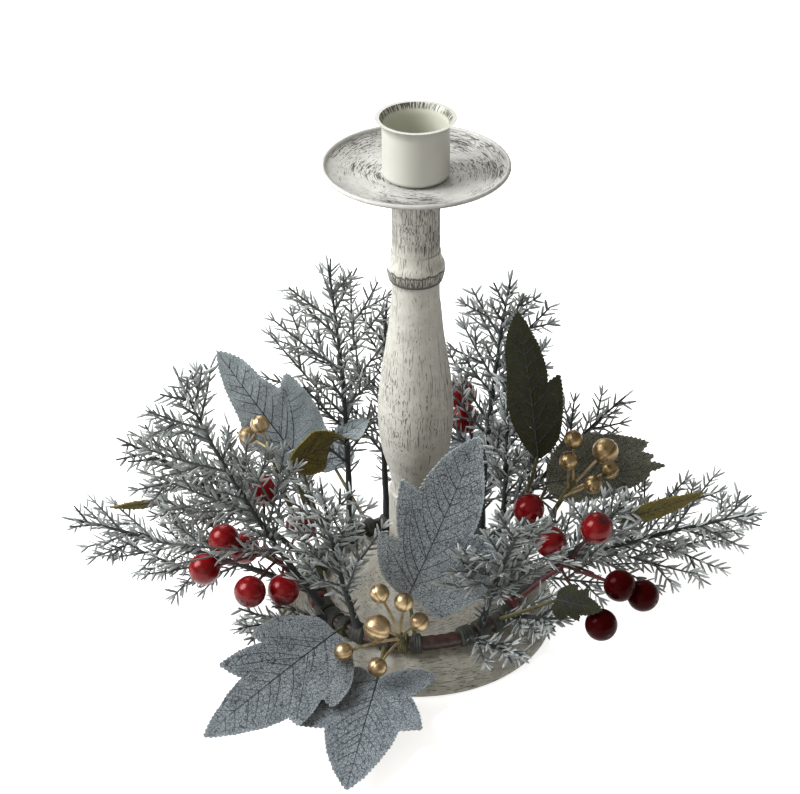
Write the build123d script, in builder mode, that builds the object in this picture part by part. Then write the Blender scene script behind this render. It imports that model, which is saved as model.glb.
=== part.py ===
from build123d import *
import math
import os

# A white distressed taper candlestick that stands in a floral candle ring.
# Millimetres, +Z up. The origin is the centre of the pad that the foot stands on.

os.makedirs("parts", exist_ok=True)

# Foot
foot_radius = 60.0
foot_wall = 1.2
foot_lift = 0.8
shoulder_radius = 3.0
shoulder_rise = 1.5
dome_radius = 180.0
dome_start_angle = 24.0
dome_end_angle = 15.0
foot_neck_straight = 3.5
foot_web = 1.6
hem_width = 6.0

# Pad under the foot
pad_thickness = 2.0
pad_gap = 0.3

# Neck, column and collar
neck_radius = 11.2
sleeve_height = 20.5
sleeve_wall = 2.9
tenon_gap = 0.1
tenon_length = 15.0
column_height = 144.2
belly_radius = 15.6
column_neck_radius = 9.5
collar_height = 12.6
collar_bulge = 2.0
collar_edge = 0.6
collar_foot = 1.1
collar_feather = 0.25
collar_below_top = 30.9
collar_gap = 0.08

# Drip pan and candle cup
pan_radius = 36.5
pan_wall = 0.9
pan_floor_radius = 14.0
pan_depth = 4.6
pan_bead_radius = 0.9
cup_inner_radius = 12.0
cup_wall = 1.0
cup_height = 24.4
cup_corner = 1.6
cup_lip_radius = 15.6
cup_lip_curve = 5.2

# Bolt, washer and nut
bolt_radius = 2.5
bolt_gap = 0.4
bolt_head_radius = 5.5
bolt_head_height = 1.6
bolt_slot_width = 1.2
bolt_slot_depth = 0.7
bolt_tail = 2.0
washer_radius = 6.0
washer_thickness = 1.0
nut_across_flats = 8.0
nut_height = 4.0
thread_gap = 0.05

# Hoop and the collars that clip on it
hoop_ring_radius = 43.6
hoop_tube_radius = 3.25
collar_clip_gap = 0.15
collar_clip_wall = 1.0
rest_gap = 0.3

# Heights that follow
dome_turn = dome_start_angle - dome_end_angle
shoulder_turn = 90.0 - dome_start_angle
shoulder_base = foot_lift + shoulder_rise


def polar_step(radius, start_angle, turn):
    """Across and up that an arc covers, starting along start_angle from +X and turning left by turn degrees."""
    first = math.radians(start_angle)
    last = math.radians(start_angle + turn)
    return radius * (math.sin(last) - math.sin(first)), radius * (math.cos(first) - math.cos(last))


shoulder_across, shoulder_up = polar_step(shoulder_radius, 90.0, shoulder_turn)
dome_across, dome_up = polar_step(dome_radius, 180.0 - dome_start_angle, dome_turn)
dome_foot_radius = foot_radius + shoulder_across
dome_foot_height = shoulder_base + shoulder_up
dome_top_radius = dome_foot_radius + dome_across
dome_top_height = dome_foot_height + dome_up
flare_radius = (dome_top_radius - neck_radius) / (1 - math.sin(math.radians(dome_end_angle)))
flare_up = flare_radius * math.cos(math.radians(dome_end_angle))
foot_neck_top = dome_top_height + flare_up + foot_neck_straight
sleeve_top = foot_neck_top + sleeve_height
column_top = sleeve_top + column_height
pan_floor_top = column_top + pan_wall
cup_floor_top = pan_floor_top + cup_wall
cup_top = pan_floor_top + cup_height
cup_outer_radius = cup_inner_radius + cup_wall
collar_clip_inner = hoop_tube_radius + collar_clip_gap
collar_clip_outer = collar_clip_inner + collar_clip_wall

# The hoop's collars rest on the dome: its arc's centre gives the hoop's height.
dome_centre_radius = dome_foot_radius - dome_radius * math.sin(math.radians(dome_start_angle))
dome_centre_height = dome_foot_height - dome_radius * math.cos(math.radians(dome_start_angle))
hoop_from_dome_centre = dome_radius + collar_clip_outer + rest_gap
hoop_height = dome_centre_height + math.sqrt(
    hoop_from_dome_centre**2 - (hoop_ring_radius - dome_centre_radius) ** 2
)
clear_radius = hoop_ring_radius - collar_clip_outer


def save(piece, name):
    """Labels a finished piece and writes it under that name."""
    piece.part.label = name
    export_step(piece.part, f"parts/{name}.step")


# The foot's pad
with BuildPart() as base_pad:
    with BuildSketch():
        Circle(foot_radius - foot_wall - pad_gap)
    extrude(amount=pad_thickness)
save(base_pad, "base_pad")


def foot_face(inset):
    """Half section of the foot's dome and neck, drawn inset from the outside, closed on the axis."""
    with BuildLine() as outline:
        start = (foot_radius - inset, foot_lift)
        skirt = Line(start, (foot_radius - inset, shoulder_base))
        shoulder = JernArc(skirt @ 1, (0, 1), shoulder_radius - inset, shoulder_turn)
        dome = JernArc(shoulder @ 1, shoulder % 1, dome_radius - inset, dome_turn)
        flare = JernArc(dome @ 1, dome % 1, flare_radius + inset, dome_end_angle - 90.0)
        top = foot_neck_top - (foot_web if inset else 0)
        neck = Line(flare @ 1, (neck_radius - inset, top))
        Polyline(neck @ 1, (0, top), (0, foot_lift), start)
    return outline


# The foot: a spun shell with a hem turned in under its rim
with BuildPart() as base_foot:
    with BuildSketch(Plane.XZ):
        make_face(foot_face(0).line)
        make_face(foot_face(foot_wall).line, mode=Mode.SUBTRACT)
        with Locations((foot_radius - foot_wall - hem_width, pad_thickness)):
            Rectangle(hem_width, foot_wall, align=(Align.MIN, Align.MIN))
    revolve(axis=Axis.Z)
    with Locations((0, 0, foot_neck_top)):
        Hole(bolt_radius + bolt_gap, depth=foot_web * 2)
save(base_foot, "base_foot")

# The sleeve on the foot's neck
tenon_radius = neck_radius - sleeve_wall - tenon_gap
with BuildPart() as neck_sleeve:
    with BuildSketch(Plane.XY.offset(foot_neck_top)):
        Circle(neck_radius)
        Circle(neck_radius - sleeve_wall, mode=Mode.SUBTRACT)
    extrude(amount=sleeve_height)
    chamfer(neck_sleeve.edges().group_by(Axis.Z)[-1].sort_by(SortBy.RADIUS)[-1], collar_edge)
save(neck_sleeve, "neck_sleeve")

# The turned column. Each pair is a share of the height below the collar and a share of the belly's radius.
baluster_shares = (
    (0.086, 0.700),
    (0.136, 0.785),
    (0.186, 0.875),
    (0.265, 0.960),
    (0.365, 1.000),
    (0.451, 0.980),
    (0.551, 0.915),
    (0.659, 0.815),
    (0.780, 0.705),
    (0.888, 0.640),
)
column_foot_share = 0.65
column_neck_start = column_top - collar_below_top - collar_height
baluster_height = column_neck_start - sleeve_top
with BuildPart() as column:
    with BuildSketch(Plane.XZ):
        with BuildLine():
            foot_edge = (belly_radius * column_foot_share, sleeve_top)
            neck_edge = (column_neck_radius, column_neck_start)
            points = [(belly_radius * wide, sleeve_top + baluster_height * up) for up, wide in baluster_shares]
            Spline(foot_edge, *points, neck_edge, tangents=[(0, 1), (0, 1)])
            Polyline(neck_edge, (column_neck_radius, column_top), (0, column_top))
            Polyline((0, column_top), (0, sleeve_top - tenon_length), (tenon_radius, sleeve_top - tenon_length))
            Polyline((tenon_radius, sleeve_top - tenon_length), (tenon_radius, sleeve_top), foot_edge)
        make_face()
    revolve(axis=Axis.Z)
    with Locations((0, 0, column_top)):
        Hole(bolt_radius + bolt_gap, depth=column_height + tenon_length)
save(column, "column")

# The collar round the column's neck: a band whose top flares in to the neck. Each pair is a share of the
# collar's height and a share of its bulge.
collar_shares = ((0.22, 0.90), (0.44, 1.00), (0.56, 0.88), (0.72, 0.40), (0.86, 0.20))
collar_inner = column_neck_radius + collar_gap
with BuildPart() as collar_ring:
    with BuildSketch(Plane.XZ):
        with BuildLine():
            low = (collar_inner + collar_foot, column_neck_start)
            high = (collar_inner + collar_feather, column_neck_start + collar_height)
            middle = [
                (collar_inner + collar_bulge * wide, column_neck_start + collar_height * up)
                for up, wide in collar_shares
            ]
            Spline(low, *middle, high)
            Polyline(high, (collar_inner, high[1]), (collar_inner, low[1]), low)
        make_face()
    revolve(axis=Axis.Z)
save(collar_ring, "collar_ring")

# The drip pan: a flat floor and a rim that curves up to a rolled bead
pan_reach = pan_radius - pan_bead_radius - pan_floor_radius
pan_curve = (pan_reach**2 + pan_depth**2) / (2 * pan_depth)
pan_turn = math.degrees(math.asin(pan_reach / pan_curve))
with BuildPart() as drip_pan:
    with BuildSketch(Plane.XZ):
        with BuildLine():
            floor = Line((0, pan_floor_top), (pan_floor_radius, pan_floor_top))
            inside = JernArc(floor @ 1, (1, 0), pan_curve, pan_turn)
            under = Line((0, column_top), (pan_floor_radius, column_top))
            outside = JernArc(under @ 1, (1, 0), pan_curve + pan_wall, pan_turn)
            Line(inside @ 1, outside @ 1)
            Line(floor @ 0, under @ 0)
        make_face()
        with Locations((pan_radius - pan_bead_radius, pan_floor_top + pan_depth)):
            Circle(pan_bead_radius)
    revolve(axis=Axis.Z)
    with Locations((0, 0, pan_floor_top)):
        Hole(bolt_radius + bolt_gap, depth=pan_wall)
save(drip_pan, "drip_pan")


def cup_face(inset):
    """Half section of the cup, drawn inset from its outside, closed on the axis."""
    radius = cup_outer_radius - inset
    floor = pan_floor_top + inset
    corner = cup_corner + cup_wall - inset
    lip_curve = cup_lip_curve + inset
    flare = math.degrees(math.acos(1 - (cup_lip_radius - cup_outer_radius) / cup_lip_curve))
    lip_rise = cup_lip_curve * math.sin(math.radians(flare))
    with BuildLine() as outline:
        under = Line((0, floor), (radius - corner, floor))
        bend = JernArc(under @ 1, (1, 0), corner, 90)
        wall = Line(bend @ 1, (radius, cup_top - lip_rise))
        lip = JernArc(wall @ 1, (0, 1), lip_curve, -flare)
        if inset:
            over = Line(lip @ 1, lip @ 1 + (lip % 1) * inset)
            Polyline(over @ 1, (0, (over @ 1).Y), (0, floor))
        else:
            Polyline(lip @ 1, (0, (lip @ 1).Y), (0, floor))
    return outline


# The candle cup
with BuildPart() as candle_cup:
    with BuildSketch(Plane.XZ):
        make_face(cup_face(0).line)
        make_face(cup_face(cup_wall).line, mode=Mode.SUBTRACT)
    revolve(axis=Axis.Z)
    with Locations((0, 0, cup_floor_top)):
        Hole(bolt_radius + bolt_gap, depth=cup_wall * 2)
save(candle_cup, "candle_cup")

# The long bolt from the cup's floor to the nut in the foot
web_under = foot_neck_top - foot_web
bolt_end = web_under - washer_thickness - nut_height - bolt_tail
with BuildPart() as tie_bolt:
    with BuildSketch(Plane.XY.offset(bolt_end)):
        Circle(bolt_radius)
    extrude(amount=cup_floor_top - bolt_end)
    with BuildSketch(Plane.XY.offset(cup_floor_top)):
        Circle(bolt_head_radius)
    extrude(amount=bolt_head_height)
    fillet(tie_bolt.edges().sort_by(Axis.Z)[-1], bolt_head_height / 2)
    with BuildSketch(Plane.XY.offset(cup_floor_top + bolt_head_height)):
        Rectangle(bolt_head_radius * 2, bolt_slot_width)
    extrude(amount=-bolt_slot_depth, mode=Mode.SUBTRACT)
save(tie_bolt, "tie_bolt")

with BuildPart() as base_washer:
    with BuildSketch(Plane.XY.offset(web_under)):
        Circle(washer_radius)
        Circle(bolt_radius + bolt_gap, mode=Mode.SUBTRACT)
    extrude(amount=-washer_thickness)
save(base_washer, "base_washer")

with BuildPart() as base_nut:
    with BuildSketch(Plane.XY.offset(web_under - washer_thickness)):
        RegularPolygon(nut_across_flats / 2, side_count=6, major_radius=False)
        Circle(bolt_radius + thread_gap, mode=Mode.SUBTRACT)
    extrude(amount=-nut_height)
save(base_nut, "base_nut")

# The hoop
with BuildPart() as hoop:
    with BuildSketch(Plane.XZ):
        with Locations((hoop_ring_radius, hoop_height)):
            Circle(hoop_tube_radius)
    revolve(axis=Axis.Z)
save(hoop, "hoop")

# Foliage of the ring: how far it spreads out from the hoop's line and rises above it
wreath_spread = 106.4
wreath_rise = 134.6
quarter_turn = 90.0

# Collars round the hoop, by what grows from them
sprig_clip_width = 6.0
leaf_clip_width = 4.2
spray_clip_width = 3.6

# Juniper sprigs
frond_thickness = 1.4
sprig_stem_radius = 1.5
sprig_tip_radius = 0.45
sprig_bare_share = 0.30
twig_pitch = 13.0
twig_angle = 44.0
twig_long_share = 0.40
twig_short_share = 0.14
twig_radius = 0.6
needle_pitch = 6.0
first_needle_share = 0.6
needle_length = 8.5
needle_angle = 38.0
needle_radius = 0.55

# Maple-like leaves
leaf_thickness = 0.7
leaf_half_width_share = 0.31
leaf_curl_radius = 400.0
petiole_radius = 0.9

# Berries and their wires
stalk_radius = 1.1
stalk_end_radius = 1.5
wire_pitch = 2.2
wire_radius = 0.6
wire_gap = 0.1
wire_seat = 3.0
red_berry_radius = 6.7
gold_bead_radius = 5.8
gold_berry_radius = 4.1


def on_ring(turn, reach, rise):
    """Point at a turn in degrees from +X, a distance from the axis and a height."""
    return Vector(reach * math.cos(math.radians(turn)), reach * math.sin(math.radians(turn)), rise)


def by_shares(turn, out_share, up_share):
    """Point out from the hoop's line and above it by shares of the wreath's spread and rise."""
    return on_ring(turn, hoop_ring_radius + wreath_spread * out_share, hoop_height + wreath_rise * up_share)


def facing(turn, lift):
    """Direction that points out at a turn and up by lift degrees."""
    return on_ring(turn, math.cos(math.radians(lift)), math.sin(math.radians(lift)))


def growth_plane(origin, target, front):
    """Plane at origin whose X runs to target and whose normal is as near as it can be to front."""
    along = (target - origin).normalized()
    across = front.cross(along).normalized()
    return Plane(origin=origin, x_dir=along, z_dir=along.cross(across))


def stem_start(root_turn, target):
    """Distance from the hoop's centre line at which a stem that grows towards target leaves its collar's wall."""
    root = on_ring(root_turn, hoop_ring_radius, hoop_height)
    along = (target - root).normalized()
    tangent = on_ring(root_turn + quarter_turn, 1, 0)
    off_tangent = math.sqrt(1 - along.dot(tangent) ** 2)
    return (collar_clip_inner + collar_clip_wall / 2) / off_tangent


def clip(root_turn, width):
    """Adds a collar round the hoop to the part being built."""
    half = math.degrees(width / hoop_ring_radius) / 2
    outward = on_ring(root_turn - half, 1, 0)
    with BuildSketch(Plane(origin=(0, 0, 0), x_dir=outward, z_dir=outward.cross(Vector(0, 0, 1)))) as section:
        with Locations((hoop_ring_radius, hoop_height)):
            Circle(collar_clip_outer)
            Circle(collar_clip_inner, mode=Mode.SUBTRACT)
    revolve(section.sketch, axis=Axis.Z, revolution_arc=half * 2)


def rod(start, end, start_radius, end_radius):
    """Adds a straight tapered rod to the part being built."""
    line = end - start
    with Locations(Plane(origin=start, z_dir=line)):
        if start_radius == end_radius:
            Cylinder(start_radius, line.length, align=(Align.CENTER, Align.CENTER, Align.MIN))
        else:
            Cone(start_radius, end_radius, line.length, align=(Align.CENTER, Align.CENTER, Align.MIN))


class Branch:
    """A stem or twig in a frond's plane: an arc, or a straight run where bend is zero."""

    def __init__(self, origin, heading, length, bend, root_radius, tip_radius):
        self.origin = origin
        self.heading = heading
        self.length = length
        self.bend = bend
        self.root_radius = root_radius
        self.tip_radius = tip_radius

    def direction(self, run):
        return self.heading + self.bend * run / self.length

    def beside(self, run, side, extra=0.0):
        """Point on one side of the branch at a run along it, its own radius and extra away."""
        turned = self.bend * run / self.length
        if self.bend:
            across, up = polar_step(self.length / math.radians(self.bend), self.heading, turned)
        else:
            across = run * math.cos(math.radians(self.heading))
            up = run * math.sin(math.radians(self.heading))
        radius = self.root_radius + (self.tip_radius - self.root_radius) * run / self.length
        off = math.radians(self.direction(run) + quarter_turn * side)
        reach = (radius + extra) if side else 0.0
        return self.origin[0] + across + reach * math.cos(off), self.origin[1] + up + reach * math.sin(off)

    def needle(self, run, side):
        """Three points of a needle on one side, from root to tip."""
        lean = math.radians(needle_angle)
        tip = self.beside(run + needle_length * math.cos(lean), side, needle_length * math.sin(lean))
        return [self.beside(run - needle_radius, side), tip, self.beside(run + needle_radius, side)]


def twig_outline(twig):
    """Points up a twig's left side, round its tip and down its right side."""
    count = int((twig.length - needle_length / 2) / needle_pitch)
    runs = [needle_pitch * (number + first_needle_share) for number in range(count)]
    left = [point for run in runs for point in twig.needle(run, 1)]
    right = [point for run in reversed(runs) for point in reversed(twig.needle(run, -1))]
    return left + [twig.beside(twig.length, 0)] + right


def frond_outline(chord, bend, first_side, spread, start):
    """Closed outline of a sprig: its stem with alternate twigs, and needles on both."""
    half_bend = math.radians(bend) / 2
    length = chord * half_bend / math.sin(half_bend)
    stem = Branch((0, 0), -bend / 2, length, bend, sprig_stem_radius, sprig_tip_radius)
    first = length * sprig_bare_share
    count = int((length - needle_length - first) / twig_pitch) + 1
    sides = {1: [], -1: []}
    for number in range(count):
        run = first + number * twig_pitch
        side = first_side if number % 2 == 0 else -first_side
        left_over = 1 - (run - first) / (length - first)
        twig_length = spread * length * (twig_short_share + (twig_long_share - twig_short_share) * left_over)
        heading = stem.direction(run) + side * twig_angle
        twig = Branch(stem.beside(run, 0), heading, twig_length, 0.0, twig_radius, needle_radius)
        foot = [stem.beside(run - twig_radius, side)]
        shoulder = [stem.beside(run + twig_radius * 2, side)]
        ends = (foot, shoulder) if side > 0 else (shoulder, foot)
        sides[side].append(ends[0] + twig_outline(twig) + ends[1])
        needle = stem.needle(run, -side)
        sides[-side].append(needle if side < 0 else needle[::-1])
    left = [point for group in sides[1] for point in group]
    right = [point for group in reversed(sides[-1]) for point in group]
    return [stem.beside(start, 1)] + left + [stem.beside(length, 0)] + right + [stem.beside(start, -1)]


# Each sprig: the turn of its root, its tip as turn, out share and up share, the way its flat side faces as
# turn and lift, its bend in its own plane, the side of its first twig, and how wide it spreads.
sprig_shares = {
    "sprig_back_left": ((132, 129, 0.14, 1.00), (-90, 20), 8, 1, 1.0),
    "sprig_rear": ((106, 104, 0.04, 0.86), (-90, 20), -8, -1, 0.7),
    "sprig_left_upper": ((169, 178, 0.76, 0.53), (-90, 50), 14, 1, 0.9),
    "sprig_left_low": ((191.5, 180, 1.00, 0.25), (-90, 76), 12, -1, 0.95),
    "sprig_left_front": ((207.5, 193, 0.51, 0.91), (-90, 30), -14, 1, 1.0),
    "sprig_left_drop": ((217, 213, 0.45, 0.09), (-90, 75), 10, -1, 0.9),
    "sprig_left_inner": ((237, 226, 0.11, 0.61), (-110, 20), -10, 1, 0.85),
    "sprig_back_right": ((47.5, 46, 0.14, 0.96), (-103, 15), -8, 1, 0.85),
    "sprig_inner_right": ((30.5, 40, 0.07, 0.65), (-138, 20), 10, -1, 0.45),
    "sprig_small_right": ((38.9, 24, 0.56, 0.52), (-70, 45), -14, -1, 0.8),
    "sprig_far_right": ((0.5, 0, 0.99, 0.26), (-90, 65), -12, 1, 0.95),
    "sprig_middle_right": ((344, 353, 0.46, 0.40), (-90, 50), 12, -1, 0.9),
    "sprig_front_right": ((308, 304, 0.32, 0.61), (-82, 35), -8, 1, 1.0),
    "sprig_low_right": ((326, 322, 0.34, 0.13), (-90, 60), 10, 1, 0.9),
    "sprig_base_right": ((298, 308, 0.30, 0.04), (-90, 80), 12, -1, 0.9),
    "sprig_rear_low": ((88, 90, 0.51, 0.23), (90, 75), 10, 1, 0.9),
    "sprig_rear_right": ((64, 49, 0.49, 0.25), (60, 75), -12, -1, 0.9),
    "sprig_rear_left": ((143, 141, 0.52, 0.32), (120, 75), 12, 1, 0.9),
}

for name, (place, front, bend, first_side, spread) in sprig_shares.items():
    root_turn, tip_turn, out_share, up_share = place
    root = on_ring(root_turn, hoop_ring_radius, hoop_height)
    tip = by_shares(tip_turn, out_share, up_share)
    start = stem_start(root_turn, tip)
    with BuildPart() as sprig:
        with BuildSketch(growth_plane(root, tip, facing(*front))):
            with BuildLine():
                Polyline(*frond_outline((tip - root).length, bend, first_side, spread, start), close=True)
            make_face()
        extrude(amount=frond_thickness / 2, both=True)
        clip(root_turn, sprig_clip_width)
    save(sprig, name)

# Half outline of a leaf from its base to its tip, as shares of its length and of its half width
leaf_shares = ((0.00, 0.10), (0.10, 0.46), (0.24, 1.00), (0.36, 0.50), (0.68, 0.80), (0.68, 0.36), (1.00, 0.00))
leaf_belly_share = 0.015

# Each leaf: the turn of its root, its base and its tip as turns and shares, the way its top faces and its spread.
leaf_place_shares = {
    "leaf_front_left": (227, (236, 0.15, 0.08), (232, 0.86, 0.04), (-80, 60), 1.0),
    "leaf_front": (253, (256, 0.21, -0.01), (257, 0.75, -0.07), (-90, 60), 1.0),
    "leaf_centre": (270, (265, -0.02, 0.17), (302, 0.02, 0.74), (-90, 12), 0.9),
    "leaf_back_left": (151.5, (154, 0.11, 0.34), (158, 0.44, 0.71), (-90, 20), 1.15),
    "leaf_folded_left": (159.5, (166, 0.11, 0.38), (117.5, -0.01, 0.44), (-90, -30), 0.6),
    "leaf_small_left": (184, (175, 0.59, 0.27), (176, 0.82, 0.24), (-90, 10), 0.5),
    "leaf_back_right": (20.9, (15, 0.10, 0.40), (26, 0.03, 0.91), (65, -20), 0.65),
    "leaf_dark_right": (14.5, (17, 0.24, 0.29), (10, 0.60, 0.35), (-90, 40), 1.1),
    "leaf_small_right": (352.5, (352, 0.38, 0.29), (356, 0.72, 0.38), (-90, 30), 0.6),
    "leaf_low_right": (318, (325, 0.25, 0.15), (324, 0.46, 0.19), (-90, 50), 1.0),
    "leaf_rear_right": (76, (75, 0.24, 0.05), (68, 0.72, 0.07), (80, 70), 1.1),
    "leaf_rear_left": (118, (121, 0.24, 0.13), (124, 0.72, 0.17), (100, 70), 1.1),
}

for name, (root_turn, base_place, tip_place, front, spread) in leaf_place_shares.items():
    root = on_ring(root_turn, hoop_ring_radius, hoop_height)
    base = by_shares(*base_place)
    tip = by_shares(*tip_place)
    blade = growth_plane(base, tip, facing(*front))
    length = (tip - base).length
    half_width = length * leaf_half_width_share * spread
    side_view = Plane(origin=base, x_dir=blade.x_dir, z_dir=blade.y_dir)
    curl = math.degrees(math.asin(length / 2 / leaf_curl_radius)) * 2
    lift = (math.cos(math.radians(curl / 2)), -math.sin(math.radians(curl / 2)))
    stem_line = (base - root).normalized()
    with BuildPart() as leaf:
        with BuildSketch(blade):
            with BuildLine():
                upper = [(length * ahead, half_width * wide) for ahead, wide in leaf_shares]
                lower = [(ahead, -wide) for ahead, wide in reversed(upper[:-1])]
                ring = upper + lower
                for here, there in zip(ring[:-1], ring[1:]):
                    SagittaArc(here, there, length * leaf_belly_share)
                Line(ring[-1], ring[0])
            make_face()
        extrude(amount=half_width, both=True)
        with BuildSketch(side_view):
            with BuildLine():
                top = JernArc((0, leaf_thickness / 2), lift, leaf_curl_radius, curl)
                under = JernArc((0, -leaf_thickness / 2), lift, leaf_curl_radius + leaf_thickness, curl)
                Line(top @ 0, under @ 0)
                Line(top @ 1, under @ 1)
            make_face()
        extrude(amount=length, both=True, mode=Mode.INTERSECT)
        stem_root = root + stem_line * stem_start(root_turn, base)
        rod(stem_root, base + blade.x_dir * petiole_radius, petiole_radius, petiole_radius)
        clip(root_turn, leaf_clip_width)
    save(leaf, name)

# Each spray: the turn of its root, the end of its stalk, and the places of its berries with their sizes.
spray_shares = {
    "red_left": (199.5, (196, 0.21, 0.23), (
        (194, 0.45, 0.17, red_berry_radius), (191.3, 0.36, 0.25, red_berry_radius),
        (186, 0.28, 0.17, red_berry_radius), (207.5, 0.32, 0.16, red_berry_radius),
        (185, 0.19, 0.38, red_berry_radius), (189.5, 0.05, 0.26, red_berry_radius),
        (208, 0.18, 0.13, red_berry_radius))),
    "red_right": (335, (345, 0.23, 0.18), (
        (355, 0.04, 0.30, red_berry_radius), (340, 0.15, 0.26, red_berry_radius),
        (341, 0.33, 0.34, red_berry_radius), (334.5, 0.46, 0.20, red_berry_radius),
        (338, 0.54, 0.15, red_berry_radius), (325.5, 0.45, 0.12, red_berry_radius))),
    "red_rear": (55.5, (62, 0.09, 0.40), (
        (68.2, 0.10, 0.47, red_berry_radius), (68, 0.15, 0.35, red_berry_radius))),
    "gold_front": (263, (263, 0.12, 0.11), (
        (255.5, 0.19, 0.17, gold_bead_radius), (256, 0.17, 0.29, gold_berry_radius),
        (265, 0.16, 0.26, gold_berry_radius), (271, 0.15, 0.18, gold_berry_radius),
        (245, 0.25, 0.09, gold_berry_radius), (256.8, 0.25, 0.06, gold_berry_radius))),
    "gold_right": (8, (3.5, 0.22, 0.36), (
        (3.6, 0.34, 0.47, gold_bead_radius), (3.5, 0.21, 0.52, gold_berry_radius),
        (0, 0.19, 0.46, gold_berry_radius), (6.0, 0.37, 0.38, gold_berry_radius),
        (358.5, 0.29, 0.38, gold_berry_radius))),
    "gold_left": (177, (176.3, 0.17, 0.50), (
        (176.5, 0.20, 0.58, gold_berry_radius), (172, 0.26, 0.51, gold_berry_radius))),
}

for name, (root_turn, end_place, berry_places) in spray_shares.items():
    root = on_ring(root_turn, hoop_ring_radius, hoop_height)
    end = by_shares(*end_place)
    along = (end - root).normalized()
    places = [(by_shares(*place[:-1]), place[-1]) for place in berry_places]
    places.sort(key=lambda place: (end - place[0]).dot(along))
    forks = [end - along * wire_pitch * number for number in range(len(places))]
    with BuildPart() as wires:
        clip(root_turn, spray_clip_width)
        rod(root + along * stem_start(root_turn, end), end, stalk_radius, stalk_radius)
        with Locations(end):
            Sphere(stalk_end_radius)
        for fork, (centre, radius) in zip(forks, places):
            line = (centre - fork).normalized()
            rod(fork, centre - line * (radius - wire_seat), wire_radius, wire_radius)
    save(wires, name + "_wires")
    with BuildPart() as berries:
        for fork, (centre, radius) in zip(forks, places):
            with Locations(Plane(origin=centre, z_dir=centre - fork)):
                Sphere(radius, rotation=(0, -quarter_turn, 0))
                with Locations((0, 0, -radius)):
                    Cylinder(wire_radius + wire_gap, (wire_seat + wire_gap) * 2, mode=Mode.SUBTRACT)
    save(berries, name + "_berries")
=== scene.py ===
import math
import random

import bpy
from mathutils import Matrix, Vector, kdtree, noise
from mathutils.geometry import delaunay_2d_cdt


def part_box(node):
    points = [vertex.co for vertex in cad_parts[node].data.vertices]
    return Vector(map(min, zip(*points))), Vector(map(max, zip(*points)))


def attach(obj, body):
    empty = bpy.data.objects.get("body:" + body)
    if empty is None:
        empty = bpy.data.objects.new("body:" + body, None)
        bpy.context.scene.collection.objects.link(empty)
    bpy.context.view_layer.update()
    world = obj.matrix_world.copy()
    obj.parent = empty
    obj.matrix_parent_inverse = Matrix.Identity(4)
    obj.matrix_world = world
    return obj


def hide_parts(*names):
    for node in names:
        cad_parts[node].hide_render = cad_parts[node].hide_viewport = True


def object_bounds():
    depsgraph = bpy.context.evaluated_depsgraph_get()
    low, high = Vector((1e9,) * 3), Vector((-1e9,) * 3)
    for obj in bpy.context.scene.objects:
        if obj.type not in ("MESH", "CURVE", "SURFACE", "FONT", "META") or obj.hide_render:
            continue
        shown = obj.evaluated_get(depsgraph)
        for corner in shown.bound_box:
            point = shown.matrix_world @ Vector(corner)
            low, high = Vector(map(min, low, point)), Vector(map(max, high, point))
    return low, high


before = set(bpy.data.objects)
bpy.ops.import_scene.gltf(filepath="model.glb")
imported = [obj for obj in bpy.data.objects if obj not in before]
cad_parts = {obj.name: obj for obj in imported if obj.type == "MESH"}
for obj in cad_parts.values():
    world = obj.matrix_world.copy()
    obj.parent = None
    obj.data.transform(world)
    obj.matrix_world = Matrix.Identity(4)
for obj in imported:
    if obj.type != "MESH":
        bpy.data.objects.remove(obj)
cad_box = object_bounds()

# Lengths below are millimetres and angles are degrees; a mesh is written in metres.
mm = 0.001

# Camera, with its place in metres
camera_place = (-0.00643, -0.70677, 0.55971)
camera_pitch = 57.51
camera_roll = -0.235
camera_lens = 92.06
sensor_width = 36.0

# The ring of foliage, with the same values as the part's source
hoop_low, hoop_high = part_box("hoop")
hoop_height = (hoop_low[2] + hoop_high[2]) / 2 / mm
hoop_tube_radius = (hoop_high[2] - hoop_low[2]) / 2 / mm
hoop_ring_radius = hoop_high[0] / mm - hoop_tube_radius
wreath_spread = 106.4
wreath_rise = 134.6
free_reach = 39.3
table_clear = 0.4
clip_outer = 4.4
clip_start = 3.9
sprig_clip_width = 6.0
leaf_clip_width = 4.2
spray_clip_width = 3.6
sprig_stem_radius = 1.5
sprig_tip_radius = 0.45
sprig_bare_share = 0.27
short_bare_share = 0.12
long_sprig = 110.0
twig_pitch = 11.5
short_twig_pitch = 7.5
twig_angle = 42.0
twig_long_share = 0.38
twig_short_share = 0.15
# The twigs of each step along a stem: how far on as a share of the step, size, hand, and tilt out of its flat
# side
twig_kinds = ((0.0, 1.0, 1, (-12, 12)), (0.42, 0.70, -1, (10, 35)), (0.70, 0.40, 1, (45, 75)))
leaf_thickness = 0.7
stalk_radius = 1.1
stalk_end_radius = 1.5
wire_pitch = 2.2
wire_radius = 0.6
berry_radii = {"red": 6.7, "bead": 5.8, "gold": 4.1}

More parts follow.
